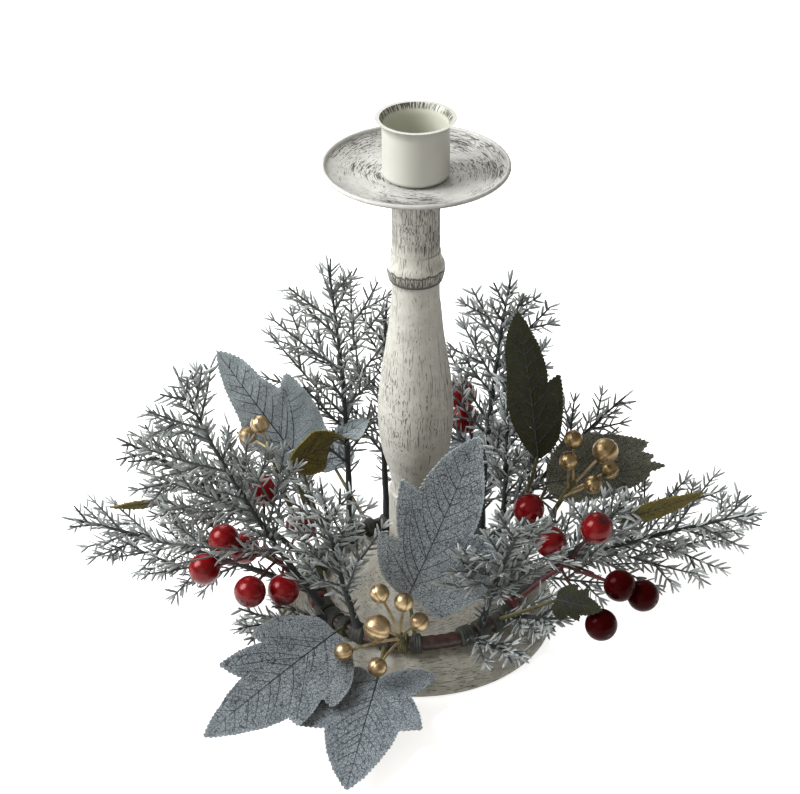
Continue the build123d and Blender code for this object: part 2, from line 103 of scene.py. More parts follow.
# Each sprig: root turn, tip as turn, out share and up share, the way its flat side faces, bend, side of its
# first twig, spread, and how pale it is
sprigs = {
    "sprig_back_left": ((132, 129, 0.14, 1.00), (-90, 20), 8, 1, 1.0, 0.30),
    "sprig_rear": ((106, 104, 0.04, 0.86), (-90, 20), -8, -1, 0.7, 0.25),
    "sprig_left_upper": ((169, 178, 0.76, 0.53), (-90, 50), 14, 1, 0.9, 0.45),
    "sprig_left_low": ((191.5, 180, 1.00, 0.25), (-90, 76), 12, -1, 0.95, 0.50),
    "sprig_left_front": ((207.5, 193, 0.51, 0.91), (-90, 30), -14, 1, 1.0, 0.55),
    "sprig_left_drop": ((217, 213, 0.45, 0.09), (-90, 75), 10, -1, 1.1, 0.65),
    "sprig_left_inner": ((237, 226, 0.11, 0.61), (-110, 20), -10, 1, 1.0, 0.70),
    "sprig_back_right": ((47.5, 46, 0.14, 0.96), (-103, 15), -8, 1, 0.85, 0.60),
    "sprig_inner_right": ((30.5, 40, 0.07, 0.65), (-138, 20), 10, -1, 0.60, 0.70),
    "sprig_small_right": ((38.9, 24, 0.56, 0.52), (-70, 45), -14, -1, 0.8, 0.30),
    "sprig_far_right": ((0.5, 0, 0.99, 0.26), (-90, 65), -12, 1, 0.95, 0.60),
    "sprig_middle_right": ((344, 353, 0.46, 0.40), (-90, 50), 12, -1, 1.05, 0.80),
    "sprig_front_right": ((308, 304, 0.32, 0.61), (-82, 35), -8, 1, 1.15, 0.90),
    "sprig_low_right": ((326, 322, 0.34, 0.13), (-90, 60), 10, 1, 1.2, 0.75),
    "sprig_base_right": ((298, 308, 0.30, 0.04), (-90, 80), 12, -1, 1.15, 0.60),
    "sprig_rear_low": ((88, 90, 0.51, 0.23), (90, 75), 10, 1, 0.9, 0.50),
    "sprig_rear_right": ((64, 49, 0.49, 0.25), (60, 75), -12, -1, 0.9, 0.50),
    "sprig_rear_left": ((143, 141, 0.52, 0.32), (120, 75), 12, 1, 0.9, 0.50),
}

# Each leaf: root turn, base and tip as turn, out share and up share, the way its top faces, outline, finish
# of that side and of the other side, fold along the midrib, wave, and twist towards the tip
leaves = {
    "leaf_front_left": (
        227, (236, 0.15, 0.08), (232, 0.86, 0.04), (-80, 60), "front_left", "slate_dark", "olive", 7, 1.2, 0),
    "leaf_front": (
        253, (256, 0.21, -0.01), (257, 0.75, -0.07), (-90, 60), "front", "slate", "olive", 6, 1.0, 0),
    # The centre leaf's top is a paler copy of slate, as painted light
    "leaf_centre": (
        270, (265, -0.02, 0.17), (302, 0.02, 0.74), (-90, 12), "centre", "slate_mid", "olive", 8, 1.0, 0),
    "leaf_back_left": (
        151.5, (154, 0.11, 0.34), (158, 0.44, 0.71), (-90, 20), "back_left", "slate_pale", "olive", 6,
        1.4, 0),
    "leaf_folded_left": (
        159.5, (166, 0.11, 0.38), (117.5, -0.01, 0.44), (-90, -10), "folded", "olive", "slate_pale", 6,
        0.8, 84),
    "leaf_small_left": (
        184, (175, 0.59, 0.27), (176, 0.82, 0.24), (-90, -30), "sliver", "olive", "olive", 8, 0.6, 0),
    "leaf_back_right": (
        20.9, (15, 0.10, 0.40), (26, 0.03, 0.91), (65, -20), "back_right", "slate", "olive_dark", 6, 1.0, 0),
    "leaf_dark_right": (
        14.5, (18, 0.15, 0.28), (9, 0.61, 0.355), (-90, 40), "dark_right", "grey_dark", "olive", 6, 1.2, 0),
    "leaf_small_right": (
        352.5, (352, 0.38, 0.29), (356, 0.72, 0.38), (-90, -15), "sliver", "olive", "olive", 8, 0.6, 0),
    "leaf_low_right": (
        318, (325, 0.25, 0.15), (324, 0.46, 0.19), (-90, 50), "maple", "olive_dark", "olive", 6, 0.8, 0),
    "leaf_rear_right": (
        76, (75, 0.24, 0.05), (68, 0.72, 0.07), (80, 70), "maple", "slate", "olive", 6, 1.2, 0),
    "leaf_rear_left": (
        118, (121, 0.24, 0.13), (124, 0.72, 0.17), (100, 70), "maple", "slate", "olive", 6, 1.2, 0),
}

# Leaf outlines as the side that faces shows them: the corners and bends of the left and of the right edge
# after the leaf's foot, from base to tip, as shares of its length along it and out from its midrib
leaf_foot = (0.00, 0.02)
outlines = {
    "front_left": (
        ((0.03, 0.14), (0.20, 0.29), (0.37, 0.32), (0.37, 0.24), (0.59, 0.28), (0.59, 0.21), (0.80, 0.14)),
        ((0.02, 0.12), (0.24, 0.26), (0.41, 0.26), (0.39, 0.19), (0.67, 0.24), (0.62, 0.11), (0.82, 0.07))),
    "front": (
        ((-0.10, 0.12), (-0.15, 0.28), (-0.11, 0.40), (0.12, 0.26), (0.41, 0.39), (0.45, 0.24), (0.76, 0.15)),
        ((-0.06, 0.14), (0.02, 0.36), (0.27, 0.45), (0.31, 0.32), (0.59, 0.43), (0.56, 0.25), (0.81, 0.16))),
    "centre": (
        ((0.02, 0.07), (0.12, 0.18), (0.34, 0.27), (0.33, 0.16), (0.67, 0.27), (0.63, 0.17), (0.85, 0.12)),
        ((-0.06, 0.20), (0.22, 0.33), (0.52, 0.28), (0.50, 0.16), (0.70, 0.14), (0.90, 0.06))),
    "back_left": (
        ((0.10, 0.14), (0.32, 0.19), (0.55, 0.15), (0.78, 0.10)),
        ((0.00, 0.16), (0.12, 0.29), (0.34, 0.34), (0.61, 0.31), (0.53, 0.20), (0.66, 0.15), (0.85, 0.11))),
    "back_right": (
        ((0.10, 0.12), (0.30, 0.18), (0.56, 0.19), (0.50, 0.11), (0.72, 0.10), (0.89, 0.05)),
        ((0.10, 0.10), (0.30, 0.16), (0.56, 0.14), (0.78, 0.11))),
    "dark_right": (
        ((0.06, 0.18), (0.21, 0.35), (0.53, 0.33), (0.89, 0.21), (0.82, 0.14), (0.92, 0.09), (0.86, 0.05)),
        ((0.05, 0.13), (0.19, 0.19), (0.58, 0.17), (0.84, 0.08), (0.87, 0.03))),
    "folded": (
        ((0.14, 0.20), (0.38, 0.27), (0.70, 0.20), (0.90, 0.08)),
        ((0.12, 0.19), (0.36, 0.28), (0.68, 0.21), (0.90, 0.09))),
    "sliver": (
        ((0.20, 0.11), (0.48, 0.15), (0.82, 0.07)),
        ((0.22, 0.10), (0.52, 0.13), (0.84, 0.06))),
    "maple": (
        ((-0.02, 0.14), (0.14, 0.30), (0.36, 0.34), (0.35, 0.22), (0.62, 0.31), (0.60, 0.18), (0.83, 0.11)),
        ((-0.02, 0.15), (0.16, 0.31), (0.34, 0.33), (0.34, 0.21), (0.64, 0.29), (0.60, 0.17), (0.83, 0.12))),
}

# Each spray: root turn, end of its stalk, and its berries as turn, out share, up share, kind and the share of
# its radius that stays bare of the needles before it
sprays = {
    "red_left": (199.5, (196, 0.21, 0.23), (
        (194, 0.45, 0.17, "red", 1.10), (191.3, 0.36, 0.25, "red", 0.80),
        (186, 0.28, 0.17, "red", 0.10), (207.5, 0.32, 0.16, "red", 0.70),
        (185, 0.19, 0.38, "red", 0.50), (189.5, 0.05, 0.26, "red", 0.15),
        (208, 0.18, 0.13, "red", 0.20))),
    "red_right": (335, (345, 0.23, 0.18), (
        (355, 0.04, 0.30, "red", 0.85), (340, 0.15, 0.26, "red", 0.60),
        (341, 0.33, 0.34, "red", 0.15), (334.5, 0.46, 0.20, "red", 0.85),
        (338, 0.54, 0.15, "red", 0.85), (325.5, 0.45, 0.12, "red", 0.85))),
    "red_rear": (55.5, (62, 0.09, 0.40), (
        (68.2, 0.10, 0.47, "red", 0.30), (68, 0.15, 0.35, "red", 0.30))),
    "gold_front": (263, (263, 0.12, 0.11), (
        (255.5, 0.19, 0.17, "bead", 1.15), (256, 0.17, 0.29, "gold", 1.15),
        (265, 0.16, 0.26, "gold", 1.15), (271, 0.15, 0.18, "gold", 1.15),
        (245, 0.25, 0.09, "gold", 1.15), (256.8, 0.25, 0.06, "gold", 1.15))),
    "gold_right": (8, (3.5, 0.22, 0.36), (
        (3.6, 0.34, 0.47, "bead", 1.15), (3.5, 0.21, 0.52, "gold", 1.15),
        (0, 0.19, 0.46, "gold", 1.15), (6.0, 0.37, 0.38, "gold", 1.15),
        (358.5, 0.29, 0.38, "gold", 1.15))),
    "gold_left": (177, (176.3, 0.17, 0.50), (
        (176.5, 0.20, 0.58, "gold", 1.40), (172, 0.26, 0.51, "gold", 0.15))),
}

# Spots of leaves that stay bare of the needles before them: how far along the leaf and left of its midrib,
# and radius, as shares of its length
bare_spots = {
    "leaf_back_left": (0.62, -0.08, 0.30), "leaf_folded_left": (0.40, 0.0, 0.24),
    "leaf_back_right": (0.68, 0.0, 0.20), "leaf_centre": (0.62, 0.05, 0.27),
    "leaf_front_left": (0.66, 0.0, 0.28), "leaf_dark_right": (0.62, 0.08, 0.20),
}


# Places

steep = 0.8


def on_ring(turn, reach, rise):
    """Point at a turn in degrees from +X, a distance from the axis and a height."""
    return Vector((reach * math.cos(math.radians(turn)), reach * math.sin(math.radians(turn)), rise))


def by_shares(turn, out_share, up_share):
    """Point out from the hoop's line and above it by shares of the wreath's spread and rise."""
    return on_ring(turn, hoop_ring_radius + wreath_spread * out_share, hoop_height + wreath_rise * up_share)


def facing(turn, lift):
    """Direction that points out at a turn and up by lift degrees."""
    return on_ring(turn, math.cos(math.radians(lift)), math.sin(math.radians(lift)))


def growth_axes(origin, target, front):
    """Directions along a growth, across it, and out of its flat side, as near to front as it can be."""
    along = (target - origin).normalized()
    across = front.cross(along).normalized()
    return along, across, along.cross(across)


def perpendicular(direction):
    """A direction at a right angle to another."""
    other = Vector((0, 0, 1)) if abs(direction.z) < steep else Vector((1, 0, 0))
    return direction.cross(other).normalized()


def about(axis, degrees):
    """Rotation by degrees about an axis."""
    return Matrix.Rotation(math.radians(degrees), 3, axis)


def stem_start(root_turn, along):
    """Distance from the hoop's centre line at which a stem leaves its collar."""
    tangent = on_ring(root_turn + 90, 1, 0)
    return clip_start / math.sqrt(1 - along.dot(tangent) ** 2)


# Meshes

plain_tone = 0.5
sharp_angle = math.radians(50)


class Shape:
    """A mesh in the making: points with a frost, a tone and a flat place, and faces with a finish number."""

    def __init__(self):
        self.points = []
        self.frost = []
        self.tone = []
        self.flat = []
        self.faces = []
        self.finish = []

    def add(self, point, frost=0.0, tone=plain_tone, flat=(0.0, 0.0)):
        self.points.append(point)
        self.frost.append(frost)
        self.tone.append(tone)
        self.flat.append(flat)
        return len(self.points) - 1

    def face(self, corners, finish=0):
        self.faces.append(tuple(corners))
        self.finish.append(finish)

    def ring(self, centre, side, up, radius, sides, frost, tone):
        """Numbers of the points of a circle."""
        turns = [2 * math.pi * step / sides for step in range(sides)]
        return [
            self.add(centre + (side * math.cos(turn) + up * math.sin(turn)) * radius, frost, tone)
            for turn in turns
        ]

    def bridge(self, lower, upper, finish=0):
        for number in range(len(lower)):
            after = (number + 1) % len(lower)
            self.face((lower[number], lower[after], upper[after], upper[number]), finish)

    def tube(self, path, radii, sides, frost=0.0, tone=plain_tone, finish=0):
        """A round rod along a path, with its own radius at each point and closed ends."""
        side = perpendicular((path[1] - path[0]).normalized())
        rings = []
        for number, (point, radius) in enumerate(zip(path, radii)):
            ahead = (path[min(number + 1, len(path) - 1)] - path[max(number - 1, 0)]).normalized()
            side = (side - ahead * side.dot(ahead)).normalized()
            rings.append(self.ring(point, side, ahead.cross(side), radius, sides, frost, tone))
        for lower, upper in zip(rings, rings[1:]):
            self.bridge(lower, upper, finish)
        self.face(reversed(rings[0]), finish)
        self.face(rings[-1], finish)

    def lathe(self, centre, axis, profile, sides, tone=plain_tone):
        """A form turned about an axis from rows of radius, height, frost and finish, closed by two points."""
        side = perpendicular(axis)
        up = axis.cross(side)
        start = self.add(centre + axis * profile[0][1], profile[0][2], tone)
        rings = [
            self.ring(centre + axis * height, side, up, radius, sides, frost, tone)
            for radius, height, frost, finish in profile[1:-1]
        ]
        end = self.add(centre + axis * profile[-1][1], profile[-1][2], tone)
        for number in range(sides):
            after = (number + 1) % sides
            self.face((start, rings[0][number], rings[0][after]), profile[1][3])
            self.face((end, rings[-1][after], rings[-1][number]), profile[-1][3])
        for row, (lower, upper) in enumerate(zip(rings, rings[1:])):
            self.bridge(upper, lower, profile[row + 2][3])

    def piece(self, name, finishes, body, node, slot):
        """Writes the mesh as a piece that rides on a body and stands for a CAD node."""
        mesh = bpy.data.meshes.new(name)
        mesh.from_pydata([point * mm for point in self.points], [], self.faces)
        mesh.attributes.new("frost", "FLOAT", "POINT").data.foreach_set("value", self.frost)
        mesh.attributes.new("tone", "FLOAT", "POINT").data.foreach_set("value", self.tone)
        corners = [0] * len(mesh.loops)
        mesh.loops.foreach_get("vertex_index", corners)
        layer = mesh.uv_layers.new(name="flat")
        layer.data.foreach_set("uv", [value for corner in corners for value in self.flat[corner]])
        mesh.polygons.foreach_set("material_index", self.finish)
        for finish in finishes:
            mesh.materials.append(finish)
        mesh.shade_smooth()
        mesh.set_sharp_from_angle(angle=sharp_angle)
        made = bpy.data.objects.new(name, mesh)
        bpy.context.scene.collection.objects.link(made)
        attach(made, body)
        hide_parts(node)


def even_run(start, end, steps):
    """Values from start to end in even steps."""
    return [start + (end - start) * step / steps for step in range(steps + 1)]


# Materials. Scales of noise are for places in metres, or for the flat places of a leaf.

least_reach = 0.0005
stray_scale = 70.0
gather_scale = 48.0
stroke_edges = (-0.03, 0.02)
middle_band = (0.3, 0.7)


class Paint:
    """A node material in the making, with short calls for its nodes."""

    def __init__(self, name, roughness, metallic=0.0):
        self.material = bpy.data.materials.new(name)
        self.material.use_nodes = True
        self.tree = self.material.node_tree
        self.shader = self.tree.nodes["Principled BSDF"]
        self.shader.inputs["Roughness"].default_value = roughness
        self.shader.inputs["Metallic"].default_value = metallic

    def node(self, kind, *inputs, **settings):
        made = self.tree.nodes.new("ShaderNode" + kind)
        for name, value in settings.items():
            setattr(made, name, value)
        for socket, value in inputs:
            self.put(value, made.inputs[socket])
        return made

    def put(self, value, socket):
        """Links an output to a socket, or sets a value on it."""
        if isinstance(value, bpy.types.NodeSocket):
            self.tree.links.new(value, socket)
        else:
            socket.default_value = value

    def place(self):
        return self.node("TexCoord").outputs["Object"]

    def place_parts(self):
        return self.node("SeparateXYZ", (0, self.place())).outputs

    def mark(self, name):
        return self.node("Attribute", attribute_name=name).outputs["Fac"]

    def math(self, operation, first, second=0.0, third=0.0):
        return self.node("Math", (0, first), (1, second), (2, third), operation=operation).outputs[0]

    def product(self, first, second):
        return self.math("MULTIPLY", first, second)

    def noise(self, scale, detail=3.0, roughness=0.6, vector=None):
        """Noise over the object, or over another vector."""
        made = self.node(
            "TexNoise", ("Vector", vector or self.place()), ("Scale", scale), ("Detail", detail),
            ("Roughness", roughness))
        return made.outputs["Fac"]

    def soft_noise(self, scale, vector=None):
        return self.noise(scale, detail=2.0, roughness=0.5, vector=vector)

    def between(self, value, low, high, start=0.0, end=1.0):
        """start at low, end at high, and a smooth run between."""
        made = self.node(
            "MapRange", ("Value", value), ("From Min", low), ("From Max", high), ("To Min", start),
            ("To Max", end), interpolation_type="SMOOTHSTEP")
        return made.outputs["Result"]

    def mix(self, share, first, second):
        """first where share is 0 and second where it is 1, as colours."""
        made = self.node("Mix", data_type="RGBA")
        for socket, value in (("Factor_Float", share), ("A_Color", first), ("B_Color", second)):
            target = next(put for put in made.inputs if put.identifier == socket)
            self.put((*value, 1.0) if isinstance(value, tuple) else value, target)
        return next(put for put in made.outputs if put.identifier == "Result_Color")

    def around(self, across, along, radial, wander):
        """Vector that runs fast where a stroke is narrow: across around the axis, along up it and radial out
        from it, with wander as how far it strays."""
        x, y, z = self.place_parts()
        reach = self.math("SQRT", self.math("ADD", self.product(x, x), self.product(y, y)))
        safe = self.math("MAXIMUM", reach, least_reach)
        stray = self.product(self.soft_noise(stray_scale), wander)
        turned_x = self.math("MULTIPLY_ADD", self.math("DIVIDE", x, safe), across, stray)
        turned_y = self.math("MULTIPLY_ADD", self.math("DIVIDE", y, safe), across, stray)
        rise = self.math("MULTIPLY_ADD", z, along, self.math("MULTIPLY_ADD", reach, radial, stray))
        return self.node("CombineXYZ", (0, turned_x), (1, turned_y), (2, rise)).outputs[0]

    def finish(self, colour, roughness, height, depth, strength=0.6):
        """Links a colour and a roughness, where there is one, and a bump with its depth in metres."""
        self.put(colour, self.shader.inputs["Base Color"])
        if roughness is not None:
            self.put(roughness, self.shader.inputs["Roughness"])
        bump = self.node("Bump", ("Height", height), ("Distance", depth), ("Strength", strength))
        self.put(bump.outputs[0], self.shader.inputs["Normal"])
        return self.material


def shaded(colour, factor):
    """A colour made darker or paler."""
    return tuple(value * factor for value in colour)


def brush_strokes(paint, strokes, wander, cover, patch, crowd=None):
    """Dark brush strokes, 1 where there is one, and the noise that they come from. strokes is their run
    around the axis, up it and out from it, wander how they stray, cover how many show, patch how much they
    gather, and crowd the heights between which their number changes and by how much."""
    streak = paint.noise(1.0, roughness=0.55, vector=paint.around(*strokes, wander))
    gather = paint.soft_noise(gather_scale)
    level = paint.math("MULTIPLY_ADD", paint.math("SUBTRACT", gather, 0.5), patch, cover)
    if crowd:
        crowd_start, crowd_end, change = crowd
        risen = paint.between(paint.place_parts()[2], crowd_start, crowd_end, end=change)
        level = paint.math("ADD", level, risen)
    over = paint.math("ADD", streak, paint.math("SUBTRACT", level, 1.0))
    return paint.between(over, *stroke_edges), streak


def worn_cream(paint, stroke, streak, weight, low, high):
    """Ends a cream paint: mottled ground between two shades, strokes with a weight, and shallow grooves."""
    stroke_dark = (0.030, 0.028, 0.025)
    stroke_pale = (0.125, 0.115, 0.100)
    stain_shade = 0.62
    groove_depth = 0.00022
    mottle = paint.noise(260.0)
    stain = paint.noise(38.0)
    ground = paint.mix(paint.between(mottle, 0.30, 0.75), low, high)
    ground = paint.mix(paint.between(stain, 0.52, 0.80, end=0.45), ground, shaded(low, stain_shade))
    dark = paint.mix(mottle, stroke_dark, stroke_pale)
    colour = paint.mix(paint.product(stroke, weight), ground, dark)
    ridge = paint.math("MULTIPLY_ADD", stroke, -1.0, paint.product(streak, 1.2))
    gloss = paint.between(stroke, 0.0, 1.0, start=0.46, end=0.8)
    return paint.finish(colour, gloss, ridge, groove_depth, strength=0.7)


def cream_paint(name, strokes, wander, cover, patch, weight, low, high, crowd=None):
    """Worn cream paint with dark brush strokes."""
    paint = Paint(name, roughness=0.55)
    stroke, streak = brush_strokes(paint, strokes, wander, cover, patch, crowd)
    return worn_cream(paint, stroke, streak, weight, low, high)


def banded_cream(name, low, high):
    """Worn cream paint of the collar, with upright dashes between two dark lines on its lower part."""
    paint = Paint(name, roughness=0.55)
    collar_low, collar_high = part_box("collar_ring")
    foot = collar_low[2]
    rise = collar_high[2] - foot
    line_foot_share = 0.26
    line_wave_share = 0.30
    low_line_shares = (0.06, 0.14)
    dash_end = 0.0002
    line_edges = (0.00015, 0.0006)
    dash_band = (0.45, 0.52)
    stroke, streak = brush_strokes(paint, (28.0, 150.0, 0.0), wander=3.0, cover=0.37, patch=0.30)
    height = paint.place_parts()[2]
    wobble = paint.noise(1.0, vector=paint.around(7.0, 0.0, 0.0, wander=0.0))
    line = paint.math("MULTIPLY_ADD", wobble, rise * line_wave_share, foot + rise * line_foot_share)
    above = paint.math("SUBTRACT", height, line)
    dash = paint.noise(1.0, vector=paint.around(44.0, 260.0, 0.0, wander=1.0))
    below = paint.between(above, -dash_end, dash_end, 1.0, 0.0)
    dashes = paint.product(paint.between(dash, *dash_band), below)
    upper = paint.between(paint.math("ABSOLUTE", above), *line_edges, 1.0, 0.0)
    lower = paint.between(height, *(foot + rise * share for share in low_line_shares), 1.0, 0.0)
    marks = paint.math("MAXIMUM", paint.math("MAXIMUM", dashes, upper), paint.math("MAXIMUM", lower, stroke))
    return worn_cream(paint, marks, streak, 0.95, low, high)


def smooth_cream(name):
    """Smooth cream enamel of the cup, with dark dashes inside its lip and painted shade inside it and at its
    foot.
    """
    paint = Paint(name, roughness=0.4)
    cup_low, cup_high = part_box("candle_cup")
    lip_band = (cup_high[2] - 0.0026, cup_high[2] - 0.0014)
    foot_band = (cup_low[2] + 0.0004, cup_low[2] + 0.0022)
    inward_band = (-0.006, 0.002)
    dash_band = (0.44, 0.50)
    grain_depth = 0.00008
    x, y, z = paint.place_parts()
    normal = paint.node("SeparateXYZ", (0, paint.node("NewGeometry").outputs["Normal"])).outputs
    outward = paint.math("ADD", paint.product(x, normal[0]), paint.product(y, normal[1]))
    within = paint.between(outward, *inward_band, 1.0, 0.0)
    dash = paint.noise(1.0, vector=paint.around(30.0, 260.0, 0.0, wander=1.5))
    near_lip = paint.between(z, *lip_band)
    dashes = paint.product(paint.between(dash, *dash_band), paint.product(near_lip, within))
    stain = paint.between(paint.noise(90.0), 0.45, 0.8)
    low = paint.between(z, *foot_band, 1.0, 0.0)
    cream = paint.mix(paint.product(stain, 0.35), (0.61, 0.61, 0.555), (0.53, 0.53, 0.46))
    # Painted shade: the cup's inner side darker and greener
    cream = paint.mix(paint.product(within, 0.45), cream, (0.52, 0.54, 0.41))
    # Painted shade near the cup's foot
    cream = paint.mix(paint.product(low, 0.7), cream, (0.10, 0.09, 0.07))
    colour = paint.mix(paint.product(dashes, 0.92), cream, (0.040, 0.038, 0.033))
    fine = paint.noise(420.0, roughness=0.55)
    return paint.finish(colour, paint.between(fine, 0.3, 0.8, start=0.34, end=0.5), fine, grain_depth)


def needle_paint(name):
    """Dark green plastic dusted with frost on the edges and upper sides; its tone and frost also carry
    painted shade.
    """
    paint = Paint(name, roughness=0.75)
    grain_depth = 0.00012
    grain = paint.noise(1400.0)
    cloud = paint.soft_noise(120.0)
    # A low tone darkens the body; on the needles' undersides that is painted shade
    deep = paint.mix(paint.mark("tone"), (0.005, 0.008, 0.009), (0.042, 0.058, 0.057))
    dusty = paint.mix(cloud, (0.70, 0.77, 0.77), (0.94, 0.98, 0.98))
    # The frost mask thins near each sprig's root, which is painted shade
    dust_and_root_shade_mask = paint.product(paint.mark("frost"), paint.between(grain, 0.25, 0.65, start=0.62))
    return paint.finish(paint.mix(dust_and_root_shade_mask, deep, dusty), None, grain, grain_depth, strength=0.7)


def leaf_paint(name, ground, pale, dark, lines):
    """Printed leaf face: a dark net of the smallest veins over a speckled ground, paler at its edge."""
    paint = Paint(name, roughness=0.62)
    paint.shader.inputs["Specular IOR Level"].default_value = 0.25
    net_bend = (0.16, 0.16, 0.0)
    net_edges = (0.015, 0.085)
    speck_shade = 2.0
    pit_shade = 0.28
    rim_shade = 1.35
    rim_share = 0.6
    grain_depth = 0.00015
    flat = paint.node("UVMap", uv_map="flat").outputs[0]
    bent = paint.node("TexNoise", ("Vector", flat), ("Scale", 5.0), ("Detail", 2.0), noise_dimensions="3D")
    shift = paint.node("VectorMath", (0, bent.outputs["Color"]), (1, net_bend), operation="MULTIPLY")
    vector = paint.node("VectorMath", (0, flat), (1, shift.outputs[0]), operation="ADD").outputs[0]
    cells = paint.node("TexVoronoi", ("Vector", vector), ("Scale", 6.0), feature="DISTANCE_TO_EDGE")
    net = paint.between(cells.outputs["Distance"], *net_edges, 1.0, 0.0)
    broken = paint.between(paint.soft_noise(9.0, flat), 0.28, 0.50)
    net = paint.product(net, paint.product(broken, lines))
    cloud = paint.noise(0.9, vector=flat)
    body = paint.mix(paint.between(cloud, *middle_band), ground, pale)
    grain = paint.noise(26.0, roughness=0.7, vector=flat)
    body = paint.mix(paint.between(grain, 0.47, 0.63, end=0.80), body, shaded(pale, speck_shade))
    body = paint.mix(paint.between(grain, 0.37, 0.50, start=0.85, end=0.0), body, shaded(ground, pit_shade))
    colour = paint.mix(net, body, dark)
    colour = paint.mix(paint.product(paint.mark("frost"), rim_share), colour, shaded(pale, rim_shade))
    return paint.finish(colour, None, paint.math("SUBTRACT", grain, net), grain_depth, strength=0.8)


def plain_paint(name, low, high, scale, roughness, metallic=0.0, depth=0.0001, rough_run=0.12):
    """Colour that drifts between two shades, with grain in its roughness and bump."""
    paint = Paint(name, roughness, metallic)
    fine_ratio = 7
    cloud = paint.noise(scale)
    fine = paint.noise(scale * fine_ratio)
    colour = paint.mix(paint.between(cloud, *middle_band), low, high)
    gloss = paint.between(fine, 0.25, 0.75, roughness - rough_run, roughness + rough_run)
    return paint.finish(colour, gloss, fine, depth)


def berry_paint(name):
    """Glossy red skin, or dull maroon where the tone is low, darker at its calyx."""
    paint = Paint(name, roughness=0.30)
    bright_tones = (0.20, 0.90)
    grain_depth = 0.00001
    cloud = paint.soft_noise(110.0)
    skin = paint.mix(paint.between(cloud, 0.3, 0.8), (0.205, 0.0025, 0.005), (0.135, 0.0015, 0.003))
    skin = paint.mix(paint.between(paint.mark("tone"), *bright_tones), (0.040, 0.0006, 0.001), skin)
    colour = paint.mix(paint.mark("frost"), skin, (0.030, 0.006, 0.006))
    fine = paint.soft_noise(900.0)
    paint.shader.inputs["Specular Tint"].default_value = (1.0, 0.42, 0.42, 1.0)
    shine = paint.between(paint.mark("tone"), *bright_tones, start=0.08, end=0.60)
    paint.put(shine, paint.shader.inputs["Specular IOR Level"])
    gloss = paint.between(fine, *middle_band, start=0.19, end=0.28)
    return paint.finish(colour, gloss, fine, grain_depth, strength=0.4)


def gold_paint(name, bright, patina):
    """Rubbed gold leaf with brown patina in patches and in the seam."""
    paint = Paint(name, roughness=0.36, metallic=0.92)
    patina_share = 0.8
    grain_depth = 0.00008
    cloud = paint.noise(210.0, detail=4.0, roughness=0.65)
    brush = paint.noise(1200.0, detail=2.0)
    worn = paint.math("MAXIMUM", paint.between(cloud, 0.46, 0.68), paint.mark("frost"))
    colour = paint.mix(paint.product(worn, patina_share), bright, patina)
    gloss = paint.between(paint.math("ADD", brush, cloud), 0.7, 1.3, start=0.26, end=0.5)
    return paint.finish(colour, gloss, brush, grain_depth)


# Leaf faces: ground, pale specks, dark net and how strongly the net shows
leaf_faces = {
    "slate": ((0.178, 0.208, 0.234), (0.252, 0.287, 0.313), (0.022, 0.028, 0.036), 0.82),
    # A paler copy of slate, as painted light for the upright centre leaf that gets less of the key light
    "slate_mid": ((0.265, 0.305, 0.335), (0.365, 0.410, 0.440), (0.034, 0.040, 0.052), 0.82),
    "slate_dark": ((0.165, 0.190, 0.212), (0.265, 0.298, 0.322), (0.020, 0.025, 0.033), 0.82),
    "slate_pale": ((0.280, 0.325, 0.350), (0.370, 0.420, 0.445), (0.120, 0.140, 0.155), 0.35),
    "grey_dark": ((0.105, 0.107, 0.078), (0.180, 0.182, 0.140), (0.022, 0.024, 0.019), 0.6),
    "olive": ((0.125, 0.095, 0.010), (0.190, 0.155, 0.028), (0.055, 0.042, 0.012), 0.5),
    "olive_dark": ((0.020, 0.021, 0.008), (0.034, 0.035, 0.014), (0.007, 0.008, 0.004), 0.5),
}

# Plain finishes: low and high shade, scale of their clouds, roughness, and for some metallic share, depth of
# the grain and run of the roughness
plain_finishes = {
    "stem_tape": ((0.020, 0.023, 0.019), (0.052, 0.058, 0.050), 260.0, 0.7),
    "wound_hoop": ((0.014, 0.007, 0.006), (0.060, 0.026, 0.020), 220.0, 0.42),
    "leaf_veins": ((0.022, 0.026, 0.030), (0.050, 0.058, 0.066), 300.0, 0.6),
    "olive_stems": ((0.060, 0.055, 0.018), (0.145, 0.130, 0.045), 260.0, 0.6),
    "berry_calyx": ((0.020, 0.005, 0.004), (0.055, 0.018, 0.012), 500.0, 0.7),
    "red_wire": ((0.045, 0.008, 0.008), (0.115, 0.020, 0.020), 260.0, 0.55),
    "gold_wire": ((0.30, 0.21, 0.09), (0.55, 0.45, 0.26), 260.0, 0.45, 0.6),
    "pad_felt": ((0.090, 0.085, 0.075), (0.160, 0.150, 0.130), 900.0, 0.95, 0.0, 0.0006, 0.04),
    "zinc_steel": ((0.38, 0.39, 0.40), (0.62, 0.63, 0.62), 300.0, 0.35, 1.0),
}

finishes = {
    "needles": needle_paint("frosted_needles"),
    "red_skin": berry_paint("red_skin"),
    "bright_gold": gold_paint("bright_gold", (0.48, 0.36, 0.205), (0.16, 0.095, 0.042)),
    # A darker copy of the gold, for the beads on the right
    "darker_gold": gold_paint("darker_gold", (0.34, 0.245, 0.125), (0.10, 0.06, 0.026)),
}
for name, values in leaf_faces.items():
    finishes[name] = leaf_paint("leaf_" + name, *values)
for name, values in plain_finishes.items():
    finishes[name] = plain_paint(name, *values)

